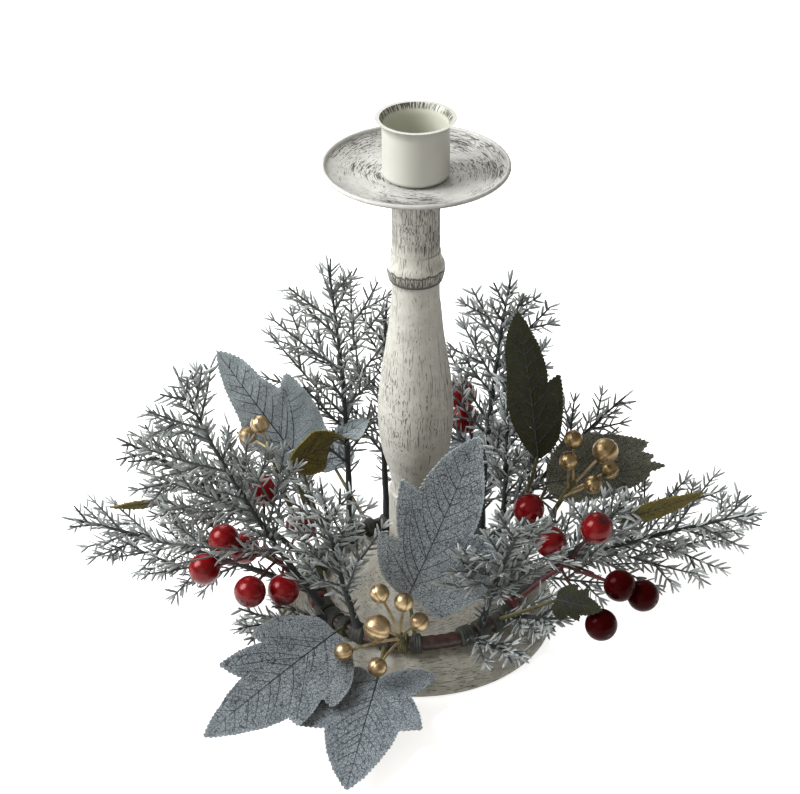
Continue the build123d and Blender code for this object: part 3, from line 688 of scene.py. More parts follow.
pan_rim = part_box("drip_pan")[1][2]
paints = {
    "base_foot": cream_paint(
        "foot_paint", (15.0, -1900.0, 2600.0), wander=4.0, cover=0.392, patch=0.26, weight=0.75,
        low=(0.40, 0.385, 0.33), high=(0.54, 0.52, 0.455)),
    "neck_sleeve": cream_paint(
        "sleeve_paint", (32.0, 150.0, 0.0), wander=3.0, cover=0.370, patch=0.30, weight=0.75,
        low=(0.56, 0.54, 0.47), high=(0.68, 0.66, 0.60)),
    "column": cream_paint(
        "column_paint", (40.0, 85.0, 0.0), wander=12.0, cover=0.362, patch=0.42, weight=0.92,
        low=(0.59, 0.575, 0.52), high=(0.71, 0.695, 0.64), crowd=(0.1790, 0.1830, 0.100)),
    "drip_pan": cream_paint(
        "pan_paint", (2.9, 2300.0, 2500.0), wander=10.0, cover=0.418, patch=0.62, weight=0.94,
        low=(0.54, 0.535, 0.515), high=(0.65, 0.645, 0.62),
        crowd=(pan_rim - 0.0016, pan_rim - 0.0008, -0.12)),
    "collar_ring": banded_cream("collar_paint", (0.60, 0.58, 0.52), (0.72, 0.70, 0.64)),
    "candle_cup": smooth_cream("cup_paint"),
    "tie_bolt": finishes["zinc_steel"],
    "base_nut": finishes["zinc_steel"],
    "base_washer": finishes["zinc_steel"],
}
for node, material in paints.items():
    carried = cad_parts[node]
    carried.data.materials.clear()
    carried.data.materials.append(material)


# What the foliage keeps clear of

berry_gap = 0.3
box_low = Vector(cad_box[0]) / mm
box_high = Vector(cad_box[1]) / mm
viewer = Vector(camera_place) / mm
views = []
berries = []
for _, _, berry_places in sprays.values():
    for *place, berry, bare_share in berry_places:
        centre = by_shares(*place)
        berries.append((centre, berry_radii[berry]))
        views.append((centre, berry_radii[berry] * bare_share))


def lobed(outline):
    """Corners and bends of a leaf's outline as shares of its length, from its base round to its base."""
    left, right = ((leaf_foot,) + edge for edge in outlines[outline])
    return left + ((1, 0),) + tuple((ahead, -wide) for ahead, wide in reversed(right))


blades = []
for leaf_name, (_, base_place, tip_place, front, outline, *_) in leaves.items():
    leaf_base = by_shares(*base_place)
    leaf_tip = by_shares(*tip_place)
    leaf_length = (leaf_tip - leaf_base).length
    leaf_axes = growth_axes(leaf_base, leaf_tip, facing(*front))
    blades.append((leaf_base, leaf_axes, [Vector(corner) * leaf_length for corner in lobed(outline)]))
    if leaf_name in bare_spots:
        ahead, wide, bare = (share * leaf_length for share in bare_spots[leaf_name])
        views.append((leaf_base + leaf_axes[0] * ahead + leaf_axes[1] * wide, bare))


def is_free(point):
    """True where a point keeps off the candlestick's way, the table, the solids' box and the berries."""
    if math.hypot(point.x, point.y) < free_reach or point.z < table_clear:
        return False
    if any(point[axis] < box_low[axis] or point[axis] > box_high[axis] for axis in range(3)):
        return False
    return all((point - centre).length > radius + berry_gap for centre, radius in berries)


def in_view(point):
    """True where a point stands between the viewer and a berry or leaf that shows."""
    for centre, bare in views:
        sight = (viewer - centre).normalized()
        offset = point - centre
        run = offset.dot(sight)
        if run > 0 and (offset - sight * run).length < bare:
            return True
    return False


def inside(point, ring):
    """True where a flat point is inside a closed ring."""
    odd = False
    for here, there in zip(ring, ring[1:] + ring[:1]):
        if (here.y > point.y) != (there.y > point.y):
            if point.x < here.x + (there.x - here.x) * (point.y - here.y) / (there.y - here.y):
                odd = not odd
    return odd


def crosses_leaf(start, end):
    """True where the way between two points goes through a leaf's blade."""
    for origin, (along, across, out), corners in blades:
        first = (start - origin).dot(out)
        last = (end - origin).dot(out)
        if (first > 0) == (last > 0):
            continue
        meeting = start + (end - start) * (first / (first - last)) - origin
        if inside(Vector((meeting.dot(along), meeting.dot(across))), corners):
            return True
    return False


# Wound collars and the hoop

wound_sides = 20
hoop_steps = 620
hoop_winds = 62
hoop_inset = 0.20
hoop_wave = 0.10
lump_run = 4
lump_lean = 0.5
collar_steps = 24
collar_winds = 4.0
collar_bulge = 0.30
collar_end_drop = 0.45
collar_end_slope = 8
collar_tone = 0.4


def wound_tube(shape, start_turn, end_turn, steps, radius_at, finish, tone):
    """A tube along the hoop's line between two turns, with its radius given by turn and place around it."""
    rings = []
    closed = end_turn - start_turn >= 360
    for step in range(steps if closed else steps + 1):
        turn = start_turn + (end_turn - start_turn) * step / steps
        ring = []
        for side in range(wound_sides):
            lean = 2 * math.pi * side / wound_sides
            radius = radius_at(turn, lean)
            outward = on_ring(turn, 1, 0) * (hoop_ring_radius + radius * math.cos(lean))
            rise = Vector((0, 0, hoop_height + radius * math.sin(lean)))
            ring.append(shape.add(outward + rise, tone=tone))
        rings.append(ring)
    for lower, upper in zip(rings, rings[1:]):
        shape.bridge(upper, lower, finish)
    if closed:
        shape.bridge(rings[0], rings[-1], finish)
    else:
        shape.face(rings[0], finish)
        shape.face(reversed(rings[-1]), finish)


def wound_collar(shape, root_turn, width, finish):
    """Tape wound round the hoop where a stem joins it."""
    half = math.degrees(width / hoop_ring_radius) / 2

    def radius_at(turn, lean):
        share = (turn - root_turn + half) / (half * 2)
        wave = abs(math.sin(math.pi * (share * collar_winds + lean / (2 * math.pi))))
        ends = min(1.0, share * collar_end_slope, (1 - share) * collar_end_slope)
        return clip_outer - collar_bulge - collar_end_drop * (1 - ends) + collar_bulge * wave * ends

    wound_tube(shape, root_turn - half, root_turn + half, collar_steps, radius_at, finish, collar_tone)


def hoop_radius_at(turn, lean):
    """Radius of the tape round the hoop, wound and a little lumpy."""
    wave = math.sin(math.radians(turn) * hoop_winds + lean)
    lump = noise.noise(on_ring(turn, lump_run, lean * lump_lean))
    return hoop_tube_radius - hoop_inset + hoop_wave * wave + hoop_wave * lump


hoop_shape = Shape()
wound_tube(hoop_shape, 0, 360, hoop_steps, hoop_radius_at, 0, plain_tone)
hoop_shape.piece("hoop_wound", [finishes["wound_hoop"]], "wreath", "hoop", "hoop_plastic")


# Sprigs

needle_long = 7.8
needle_wide = 0.95
needle_pale_wide = 0.36
needle_thick = 0.6
needle_pitch = 3.5
# Rows of a needle as shares of its length and of its width
needle_profile = ((0.0, 0.45), (0.22, 0.95), (0.62, 1.0), (0.90, 0.62))
needle_overshoot = 1.2
# A pair of values below is the run of a random draw, unless its comment says what it is
needle_twists = (-40, 40)
needle_bows = ((-0.08, 0.10), (-0.06, 0.06))
needle_leans = (30, 54)
needle_spins = (-35, 35)
needle_spin_step = 16
needle_widths = (0.8, 1.1)
needle_lengths = (0.75, 1.12)
upper_needle_share = 0.25
upper_needle_spins = (-25, 25)
end_needle_size = 0.75
end_needle_width = 0.9
end_needle_sink = 0.3
end_needle_leans = (-24, 0, 24)
end_needle_drifts = (-6, 6)
end_needle_lengths = (0.85, 1.1)
stem_end_leans = (-28, 0, 28)
taper_share = 0.55
# Painted shade in the depths of the foliage: a needle's frost grows to full by this share of its sprig's
# chord from the root, and keeps the next share of it at the root
root_shade_share = 0.7
root_shade_least = 0.35
dustings = (0.35, 1.3)
edge_frost = 0.95
ridge_frost = 0.22
ridge_frost_gain = 0.65
under_frost = 0.04
under_frost_gain = 0.10
# Share of the tone on a needle's underside, which darkens it as painted shade
underside_shade_tone = 0.55

# Radius of a twig at its root and at its end
twig_radii = (0.66, 0.40)
twig_pull = 0.10
twig_step = 4
least_twig_steps = 3
twig_cut = 0.85
twig_sides = 5
twig_frost = 0.10
twig_tone_share = 0.2
twig_needle_fade = 0.25
# Share of the needles' pitch on a twig, and how much of it paleness takes off
twig_pitch_shares = (1.1, 0.30)
twig_pitch_drifts = (0.85, 1.15)
twig_lean_drifts = (-8, 8)
twig_tones = (-0.35, 0.20)
twig_lengths = (0.72, 1.12)
step_drifts = (0.9, 1.1)
twig_bare = 1.5
branch_bare = 2.4
tip_bare = 1.0
# Places of the branches as shares of the twig's length
one_branch = (0.45,)
two_branches = (0.34, 0.60)
branch_share = 0.6
branch_extra = 3
branch_leans = (32, 46)
branch_tilts = (-50, 50)
branch_thin = 0.75
one_branch_length = 15
two_branch_length = 24

stem_steps = 30
stem_sides = 8
stem_sink = 0.6
stem_frost = 0.03
stem_tone_share = 0.15
stem_swell = 0.5
stem_swell_slope = 9
stem_knot = 0.10
stem_knot_run = 41
stem_needle_size = 0.9
# How far before the stem's end the steps, the twigs and the needles stop
stem_end_keeps = (3, 2, 1)
# Share of the twigs' pitch, and how much of it paleness takes off
pale_pitch_shares = (1.2, 0.50)
# Share of the bare stem that has no needles on a dark and on a pale sprig
bare_stem_shares = (0.85, 0.35)
pale_sprig = 0.5


class Sprig:
    """A frosted sprig in the making: a bent stem, twigs and needles that stay behind its solid's tip."""

    def __init__(self, name, place, front, bend, pale):
        root_turn, tip_turn, out_share, up_share = place
        self.chance = random.Random(name)
        self.shape = Shape()
        self.pale = pale
        self.root = on_ring(root_turn, hoop_ring_radius, hoop_height)
        tip = by_shares(tip_turn, out_share, up_share)
        self.along, self.across, self.out = growth_axes(self.root, tip, facing(*front))
        self.chord = (tip - self.root).length
        self.bend = math.radians(bend)
        self.length = self.chord * (self.bend / 2) / math.sin(self.bend / 2)
        self.radius = self.length / self.bend
        self.needle_wide = needle_wide + needle_pale_wide * pale

    def stem(self, run):
        """Place and heading on the stem after a run from the hoop's centre line."""
        start = -self.bend / 2
        heading = start + run / self.radius
        point = self.root + self.along * (self.radius * (math.sin(heading) - math.sin(start)))
        point += self.across * (self.radius * (math.cos(start) - math.cos(heading)))
        return point, self.along * math.cos(heading) + self.across * math.sin(heading)

    def allows(self, point):
        """True where a point is free and behind the tip of the sprig's solid."""
        offset = point - self.root
        run = offset.dot(self.along)
        aside = (offset - self.along * run).length
        return run + aside * taper_share < self.chord + needle_overshoot and is_free(point)

    def needle(self, root, along, length, width, tone):
        """A flat blunt strip with a ridge on each side, bowed a little, with frost on its edges and painted
        shade.
        """
        tip = root + along * length
        middle = root + along * (length / 2)
        if not self.allows(tip) or not is_free(middle) or crosses_leaf(root, tip) or in_view(middle):
            return
        chance = self.chance
        across = about(along, chance.uniform(*needle_twists)) @ along.cross(self.out).normalized()
        up = across.cross(along).normalized()
        rise, drift = (length * chance.uniform(*run) for run in needle_bows)
        bow = up * rise + across * drift
        # Thinner frost near the sprig's root is painted shade in the depths of the foliage
        grown = min(1.0, (root - self.root).length / (self.chord * root_shade_share))
        dust_and_root_shade = chance.uniform(*dustings) * (root_shade_least + (1 - root_shade_least) * grown)
        rings = []
        for share, wide in needle_profile:
            centre = root + along * (length * share) + bow * (share * share)
            half = width / 2 * wide
            thick = needle_thick / 2 * wide
            above = (ridge_frost + ridge_frost_gain * share) * dust_and_root_shade
            below = under_frost + under_frost_gain * share
            # The underside point takes a lower tone, as painted shade
            rings.append([
                self.shape.add(centre + across * half, edge_frost * dust_and_root_shade, tone),
                self.shape.add(centre + up * thick, above, tone),
                self.shape.add(centre - across * half, edge_frost * dust_and_root_shade, tone),
                self.shape.add(centre - up * thick, below, tone * underside_shade_tone),
            ])
        for lower, upper in zip(rings, rings[1:]):
            self.shape.bridge(lower, upper)
        end = self.shape.add(tip + bow, dust_and_root_shade, tone)
        last = rings[-1]
        for here, there in zip(last, last[1:] + last[:1]):
            self.shape.face((here, there, end))
        self.shape.face(reversed(rings[0]))

    def pair(self, point, heading, size, tone, number):
        """Needles on both sides of a twig, and now and then one on its upper or lower side."""
        chance = self.chance
        beside = self.out.cross(heading).normalized()
        step = needle_spin_step if number % 2 else -needle_spin_step
        spins = [chance.uniform(*needle_spins) + step, 180 + chance.uniform(*needle_spins)]
        if chance.random() < upper_needle_share:
            spins.append(chance.choice((90, -90)) + chance.uniform(*upper_needle_spins))
        for spin in spins:
            side = about(heading, spin) @ beside
            lean = math.radians(chance.uniform(*needle_leans))
            way = (heading * math.cos(lean) + side * math.sin(lean)).normalized()
            width = self.needle_wide * chance.uniform(*needle_widths)
            self.needle(point, way, needle_long * size * chance.uniform(*needle_lengths), width, tone)

    def shoot(self, origin, ahead, pull, length, radii, tone, branched):
        """A twig that bends towards pull, with needles to its end and, where it is long, twigs of its own."""
        chance = self.chance

        def at(run):
            share = run / length
            point = origin + ahead * run + pull * (length * twig_pull * share * share)
            return point, (ahead + pull * (2 * twig_pull * share)).normalized()

        steps = max(least_twig_steps, int(length / twig_step))
        while steps >= least_twig_steps and (not self.allows(at(length)[0]) or in_view(at(length)[0])):
            length *= twig_cut
            steps -= 1
        path = [at(length * step / steps)[0] for step in range(steps + 1)]
        if crosses_leaf(path[0], path[-1]) or in_view(path[-1]):
            return
        if not all(self.allows(point) for point in path[1:]):
            return
        self.shape.tube(path, even_run(*radii, steps), twig_sides, twig_frost, tone * twig_tone_share)
        run = twig_bare if branched else branch_bare
        number = 0
        pitch = needle_pitch * (twig_pitch_shares[0] - twig_pitch_shares[1] * self.pale)
        while run < length - tip_bare:
            self.pair(*at(run), 1.0 - twig_needle_fade * (run / length), tone, number)
            run += pitch * chance.uniform(*twig_pitch_drifts)
            number += 1
        point, heading = at(length)
        width = self.needle_wide * end_needle_width
        for lean in end_needle_leans:
            way = about(self.out, lean + chance.uniform(*end_needle_drifts)) @ heading
            size = needle_long * end_needle_size * chance.uniform(*end_needle_lengths)
            self.needle(point - heading * end_needle_sink, way, size, width, tone)
        if branched and length > one_branch_length:
            for number, share in enumerate(two_branches if length > two_branch_length else one_branch):
                point, heading = at(length * share)
                lean = chance.uniform(*branch_leans) * (-1) ** number
                tilt = chance.uniform(*branch_tilts)
                way = about(heading, tilt) @ about(self.out, lean) @ heading
                size = length * (1 - share) * branch_share + branch_extra
                self.shoot(point, way, heading, size, (radii[0] * branch_thin, radii[1]), tone, False)

    def twigs(self, first, stem_end, first_side, spread):
        """The twigs of the stem, on one side and on the other in turn."""
        chance = self.chance
        grown = min(1.0, self.length / long_sprig)
        pitch = short_twig_pitch + (twig_pitch - short_twig_pitch) * grown
        pitch *= pale_pitch_shares[0] - pale_pitch_shares[1] * self.pale
        run = first
        side = first_side
        while run < stem_end - stem_end_keeps[0]:
            left_over = 1 - (run - first) / (self.length - first)
            long_share = twig_short_share + (twig_long_share - twig_short_share) * left_over
            for on, size, hand, tilts in twig_kinds:
                extra = pitch * on
                if run + extra > stem_end - stem_end_keeps[1]:
                    continue
                point, heading = self.stem(run + extra)
                tilt = chance.uniform(*tilts) * chance.choice((-1, 1))
                lean = (twig_angle + chance.uniform(*twig_lean_drifts)) * side * hand
                way = about(heading, tilt) @ (about(self.out, lean) @ heading)
                tone = min(1.0, max(0.0, self.pale + chance.uniform(*twig_tones)))
                length = spread * self.length * long_share * size * chance.uniform(*twig_lengths)
                self.shoot(point, way, heading, length, twig_radii, tone, True)
            run += pitch * chance.uniform(*step_drifts)
            side = -side

    def needles(self, run, stem_end):
        """The needles on the stem itself, from a run on it to its end."""
        number = 0
        while run < stem_end - stem_end_keeps[2]:
            self.pair(*self.stem(run), stem_needle_size, self.pale, number)
            run += needle_pitch
            number += 1
        point, heading = self.stem(stem_end)
        for lean in stem_end_leans:
            way = about(self.out, lean) @ heading
            self.needle(point - heading, way, needle_long * end_needle_size, self.needle_wide, self.pale)


def add_sprig(name, place, front, bend, first_side, spread, pale):
    sprig = Sprig(name, place, front, bend, pale)
    start = stem_start(place[0], sprig.along) - stem_sink
    stem_end = sprig.length - needle_long / 2
    path = []
    radii = []
    for step in range(stem_steps + 1):
        share = step / stem_steps
        path.append(sprig.stem(start + (stem_end - start) * share)[0])
        swell = stem_swell * max(0.0, 1 - share * stem_swell_slope)
        knot = stem_knot * math.sin(share * stem_knot_run)
        radii.append(sprig_stem_radius + (sprig_tip_radius - sprig_stem_radius) * share + swell + knot)
    sprig.shape.tube(path, radii, stem_sides, stem_frost, pale * stem_tone_share)
    grown = min(1.0, sprig.length / long_sprig)
    first = sprig.length * (short_bare_share + (sprig_bare_share - short_bare_share) * grown)
    sprig.twigs(first, stem_end, first_side, spread)
    sprig.needles(first * bare_stem_shares[0 if pale < pale_sprig else 1], stem_end)
    wound_collar(sprig.shape, place[0], sprig_clip_width, 1)
    kinds = [finishes["needles"], finishes["stem_tape"]]
    sprig.shape.piece(name + "_frosted", kinds, "wreath", name, "frosted_green")


for sprig_name, values in sprigs.items():
    add_sprig(sprig_name, *values)


# Leaves

tooth_pitch = 1.9
tooth_depth = 0.52
tooth_depths = (0.5, 1.2)
tooth_lean = Vector((0.22, 0))
plain_corners = 4
inner_pitch = 2.4
# How far the inner points reach behind a leaf's foot, as a share of its length
inner_back_share = 0.2
join_gap = 1e-5
rim_width = 0.6
rim_keep = 0.7
edge_keep = 1.0
edge_belly_share = 0.05
edge_near = 0.01
rim_frost = 0.8
corner_angle = math.radians(38)
lobe_band = (0.15, 0.98)
blade_thickness_share = 0.8
blade_half = leaf_thickness / 2 * blade_thickness_share
print_scale = 10

leaf_curl_radius = 320.0
fold_round = 2
fold_share = 0.8
drift_size = 22
drift_seeds = (0, 50)
# How far out from the midrib the wave is full, and how much more of it comes by the tip
drift_runs = (8, 0.5)
quilt_height = 0.20
quilt_lean = 0.7
quilt_count = 6
quilt_run = 5
twist_start = 0.30
twist_run = 0.50

vein_step = 0.9
vein_cell = 0.9
vein_edge_gap = 1.1
vein_free_points = 3
vein_sides = 4
midrib_share = 0.985
# Radii of the veins at their start and at their end
midrib_radii = (0.34, 0.10)
side_vein_radii = (0.20, 0.07)
small_vein_radii = (0.08, 0.045)
# Start of a lobe's vein as a share of the lobe's place along the leaf, what is added to it, and the least
lobe_vein_line = (0.62, -0.14, 0.01)
lobe_vein_bend = 0.15
# First, last and step of the side veins along the midrib
side_vein_shares = (0.10, 0.93, 0.085)
side_vein_drifts = (-0.012, 0.012)
side_vein_leans = (40, 50)
side_vein_bend = 0.9
small_vein_steps = (3, 4, 5)
small_vein_leans = (45, 65)
small_vein_bends = (-3, 3)
small_vein_share = 0.16

leaf_stalk_steps = 8
leaf_stalk_radius = 0.95
leaf_stalk_taper = 0.03
leaf_stalk_reach = 0.9
stalk_sink = 0.5
olive_leaves = ("leaf_folded_left", "leaf_small_left", "leaf_back_right", "leaf_small_right")


def curve_point(start, leave, end, arrive, t):
    """Point at a share t of a curve that leaves one point and arrives at another along given lines."""
    opening = start * (2 * t ** 3 - 3 * t * t + 1) + leave * (t ** 3 - 2 * t * t + t)
    return opening + (end * (3 * t * t - 2 * t ** 3) + arrive * (t ** 3 - t * t))


def smooth_outline(outline, length):
    """Closed outline of a leaf in steps of half a tooth, smooth but for its base, tip, lobes and notches; the
    corners of its lobes come with it."""
    ring = [Vector((length * ahead, length * wide)) for ahead, wide in lobed(outline)]
    count = len(ring)
    lines = [ring[(number + 1) % count] - ring[number] for number in range(count)]
    sharp = [lines[number - 1].angle(lines[number]) > corner_angle for number in range(count)]
    made = []
    lobes = []
    for number, here in enumerate(ring):
        line = lines[number]
        before = lines[number - 1]
        after = (number + 1) % count
        bow = Vector((-line.y, line.x)) * (4 * edge_belly_share)
        leave = line + bow
        arrive = line - bow
        if not sharp[number]:
            leave = (before.normalized() + line.normalized()).normalized() * line.length
        if not sharp[after]:
            arrive = (line.normalized() + lines[after].normalized()).normalized() * line.length
        if sharp[number] and before.cross(line) < 0 and lobe_band[0] < here.x / length < lobe_band[1]:
            lobes.append(here)
        parts = max(1, round(line.length / (tooth_pitch / 2)))
        made += [curve_point(here, leave, ring[after], arrive, part / parts) for part in range(parts)]
    return made, lobes


def shifted(ring, number, way_out):
    """A point of a closed ring moved out from it, or in where the distance is negative."""
    line = ring[(number + 1) % len(ring)] - ring[number - 1]
    return ring[number] + Vector((-line.y, line.x)).normalized() * way_out


class Edge:
    """The toothed edge of a leaf as a closed flat ring."""

    def __init__(self, smooth, chance):
        self.ring = list(smooth)
        for number in range(plain_corners, len(smooth) - plain_corners):
            if number % 2:
                depth = tooth_depth * chance.uniform(*tooth_depths)
                self.ring[number] = shifted(smooth, number, depth) + tooth_lean
        self.tree = kdtree.KDTree(len(self.ring))
        for number, point in enumerate(self.ring):
            self.tree.insert((point.x, point.y, 0), number)
        self.tree.balance()

    def gap(self, point):
        """Distance of a flat point from the nearest corner."""
        return self.tree.find((point.x, point.y, 0))[2]

    def holds(self, point, keep):
        """True where a flat point is inside and keeps off the edge."""
        return self.gap(point) > keep and inside(point, self.ring)


class Veins:
    """The veins of a leaf as flat lines, each grown until it nears the edge or an older vein."""

    def __init__(self, edge, length, chance):
        self.edge = edge
        self.length = length
        self.chance = chance
        self.taken = set()

    def grow(self, start, way, bend, reach):
        """Flat points of a vein that leaves start and turns by bend in degrees at each step."""
        turn = Matrix.Rotation(math.radians(bend), 2)
        points = [start]
        own = set()
        point = start
        while len(points) * vein_step < reach:
            point = point + way * vein_step
            way = turn @ way
            cell = (round(point.x / vein_cell), round(point.y / vein_cell))
            by_edge = not self.edge.holds(point, vein_edge_gap)
            if len(points) > vein_free_points and (by_edge or cell in self.taken and cell not in own):
                break
            own.add(cell)
            points.append(point)
        self.taken |= own
        return points

    def lobe_vein(self, lobe):
        """The vein from the midrib to the corner of a lobe, with its way."""
        share, back, least = lobe_vein_line
        start = Vector((max(least, lobe.x / self.length * share + back) * self.length, 0))
        way = (lobe - start).normalized()
        return self.grow(start, way, lobe_vein_bend * math.copysign(1, -lobe.y), (lobe - start).length), way

    def side_vein(self, share, hand):
        """A vein that leaves the midrib on one side, with its way."""
        start = Vector((self.length * (share + self.chance.uniform(*side_vein_drifts)), 0))
        lean = math.radians(self.chance.uniform(*side_vein_leans)) * hand
        way = Vector((math.cos(lean), math.sin(lean)))
        return self.grow(start, way, -side_vein_bend * hand, self.length), way

    def small_veins(self, points, way):
        """The veins that leave a side vein on both sides."""
        made = []
        chance = self.chance
        first = chance.choice(small_vein_steps)
        for number in range(first, len(points) - 2, chance.choice(small_vein_steps)):
            for hand in (1, -1):
                lean = Matrix.Rotation(math.radians(chance.uniform(*small_vein_leans)) * hand, 2)
                bend = chance.uniform(*small_vein_bends)
                made.append(self.grow(points[number], lean @ way, bend, self.length * small_vein_share))
        return made

    def rows(self, lobes):
        """Rows of flat points with their two end radii: midrib, main veins and small ones."""
        midrib = self.grow(Vector((0, 0)), Vector((1, 0)), 0, self.length * midrib_share)
        mains = [self.lobe_vein(lobe) for lobe in lobes]
        share, last, step = side_vein_shares
        while share < last:
            mains += [self.side_vein(share, hand) for hand in (1, -1)]
            share += step
        made = [(midrib, midrib_radii)]
        made += [(points, side_vein_radii) for points, way in mains if len(points) > vein_free_points + 1]
        for points, way in mains:
            small = self.small_veins(points, way)
            made += [(branch, small_vein_radii) for branch in small if len(branch) > vein_free_points]
        return made


class Blade:
    """A leaf's blade: flat places along and beside its midrib, bent into the round."""

    def __init__(self, base, tip, front, fold, wave, twist, seed):
        self.base = base
        self.along, self.across, self.out = growth_axes(base, tip, facing(*front))
        self.length = (tip - base).length
        self.slope = math.tan(math.radians(fold))
        self.wave = wave
        self.twist = math.radians(twist)
        self.seed = seed

    def height(self, flat):
        """Height over the flat: a curl along it, a fold at the midrib, a slow wave and puffs."""
        share = flat.x / self.length
        aside = abs(flat.y)
        curl = flat.x * (self.length - flat.x) / (2 * leaf_curl_radius)
        lift = math.sqrt(flat.y * flat.y + fold_round ** 2) - fold_round
        drift = noise.noise(Vector((flat.x / drift_size, flat.y / drift_size, self.seed))) * self.wave
        drift *= min(1.0, aside / drift_runs[0] + share * drift_runs[1])
        puff = math.sin((flat.x - aside * quilt_lean) / self.length * 2 * math.pi * quilt_count)
        quilt = quilt_height * puff * min(1.0, aside / quilt_run)
        return curl + lift * self.slope * fold_share + drift + quilt

    def lifted(self, flat, extra):
        """Place of a flat point, with an extra height."""
        share = min(1.0, max(0.0, (flat.x / self.length - twist_start) / twist_run))
        turn = self.twist * share * share * (3 - 2 * share)
        beside = self.across * math.cos(turn) + self.out * math.sin(turn)
        above = self.out * math.cos(turn) - self.across * math.sin(turn)
        return self.base + self.along * flat.x + beside * flat.y + above * (self.height(flat) + extra)


def inner_points(smooth, edge, length):
    """Flat points within the edge: a row along it and a staggered grid over the rest."""
    rim = [shifted(smooth, number, -rim_width) for number in range(0, len(smooth), 2)]
    made = [point for point in rim if edge.holds(point, rim_width * rim_keep)]
    reach = max(abs(point.y) for point in edge.ring)
    for row in range(int(-length * inner_back_share / inner_pitch), int(length / inner_pitch) + 1):
        for column in range(int(-reach / inner_pitch) - 1, int(reach / inner_pitch) + 2):
            point = Vector((row * inner_pitch, (column + 0.5 * (row % 2)) * inner_pitch))
            if edge.holds(point, rim_width + edge_keep):
                made.append(point)
    return made


def add_sheet(shape, blade, edge, inner):
    """The two faces of a blade and its edge, with frost on the edge."""
    count = len(edge.ring)
    around = [(number, (number + 1) % count) for number in range(count)]
    flats, _, triangles, _, _, _ = delaunay_2d_cdt(edge.ring + inner, around, [], 1, join_gap)
    sides = []
    for sign in (1, -1):
        numbers = []
        for flat in flats:
            frost = rim_frost if edge.gap(flat) < edge_near else 0.0
            place = blade.lifted(flat, blade_half * sign)
            numbers.append(shape.add(place, frost, plain_tone, (flat.x / print_scale, flat.y / print_scale)))
        sides.append(numbers)
    upper, lower = sides
    once = set()
    for a, b, c in triangles:
        if (flats[b] - flats[a]).cross(flats[c] - flats[a]) < 0:
            b, c = c, b
        shape.face((upper[a], upper[b], upper[c]), 0)
        shape.face((lower[a], lower[c], lower[b]), 1)
        once.update(((a, b), (b, c), (c, a)))
    for here, there in sorted(once):
        if (there, here) not in once:
            shape.face((upper[there], upper[here], lower[here], lower[there]), 0)


def add_leaf(name, root_turn, base_place, tip_place, front, outline, top, under, fold, wave, twist):
    chance = random.Random(name)
    shape = Shape()
    root = on_ring(root_turn, hoop_ring_radius, hoop_height)
    base = by_shares(*base_place)
    blade = Blade(base, by_shares(*tip_place), front, fold, wave, twist, chance.uniform(*drift_seeds))
    smooth, lobes = smooth_outline(outline, blade.length)
    edge = Edge(smooth, chance)
    add_sheet(shape, blade, edge, inner_points(smooth, edge, blade.length))
    for points, radii in Veins(edge, blade.length, chance).rows(lobes):
        for sign in (1, -1):
            line = [blade.lifted(point, blade_half * sign) for point in points]
            shape.tube(line, even_run(*radii, len(points) - 1), vein_sides, finish=2)
    stem_line = (base - root).normalized()
    stalk_start = root + stem_line * (stem_start(root_turn, stem_line) - stalk_sink)
    stalk = even_run(stalk_start, blade.lifted(Vector((leaf_stalk_reach, 0)), 0), leaf_stalk_steps)
    radii = [leaf_stalk_radius - leaf_stalk_taper * step for step in range(leaf_stalk_steps + 1)]
    shape.tube(stalk, radii, stem_sides, finish=3)
    wound_collar(shape, root_turn, leaf_clip_width, 4)
    kinds = [finishes[kind] for kind in (top, under, "leaf_veins", "olive_stems", "stem_tape")]
    slot = "leaf_olive" if name in olive_leaves else "leaf_slate"
    shape.piece(name + "_veined", kinds, "wreath", name, slot)


for leaf_name, values in leaves.items():
    add_leaf(leaf_name, *values)


# Berries

berry_sides = 28
berry_tone = 0.9
low_berry_tone = 0.20
low_berry_share = 0.22
low_berry_height = hoop_height + wreath_rise * low_berry_share
red_steps = 19
# Rows at the calyx: radius and height as shares of the berry's radius, frost and finish
calyx_rows = ((0.0, 0.93, 1.0, 1), (0.07, 0.975, 1.0, 1), (0.13, 0.945, 0.9, 0))
calyx_frost = 0.55
gold_steps = 20
gold_shell_share = 0.97
# Steps by the seam and their shares of the radius
seam_step = 10
seam_shares = {9: 1.02, 10: 0.955, 11: 1.02}
seam_lean = 0.40
berry_skins = {"gold_front": "bright_gold", "gold_left": "bright_gold", "gold_right": "darker_gold"}

spray_stalk_steps = 14
spray_stalk_sides = 9
spray_stalk_sway = 0.35
spray_stalk_waves = 3
# Share of the stalk's radius at its start, and how much of it is lost by its end
spray_stalk_taper = (1.08, 0.10)
# Rows of the stalk's end: radius and height as shares of its radius
stalk_end_rows = ((0.0, 0.8), (0.6, 0.6), (0.92, 0.0), (0.8, -0.8), (0.0, -1.2))
stalk_end_sides = 10
wire_steps = 10
wire_sides = 7
wire_sag_share = 0.03
wire_sink = 0.6
# Share of the wire's radius at its root, how much of it is lost, and in how many steps
wire_root = (1.25, 0.25, 3)


def red_profile(radius):
    """Berry skin from its calyx end to its wire end."""
    rows = [(radius * wide, radius * high, frost, finish) for wide, high, frost, finish in calyx_rows]
    for step in range(2, red_steps):
        turn = math.pi * step / red_steps
        rows.append((radius * math.sin(turn), radius * math.cos(turn), calyx_frost if step == 2 else 0.0, 0))
    rows.append((0.0, -radius, 0.0, 0))
    return rows


def gold_profile(radius):
    """Two half shells with a lip each and a dark groove where they meet."""
    rows = [(0.0, radius, 0.0, 0)]
    for step in range(1, gold_steps):
        turn = math.pi * step / gold_steps
        reach = radius * seam_shares.get(step, 1.0)
        rows.append((reach * math.sin(turn), reach * math.cos(turn), 1.0 if step == seam_step else 0.0, 0))
    rows.append((0.0, -radius, 0.0, 0))
    return rows


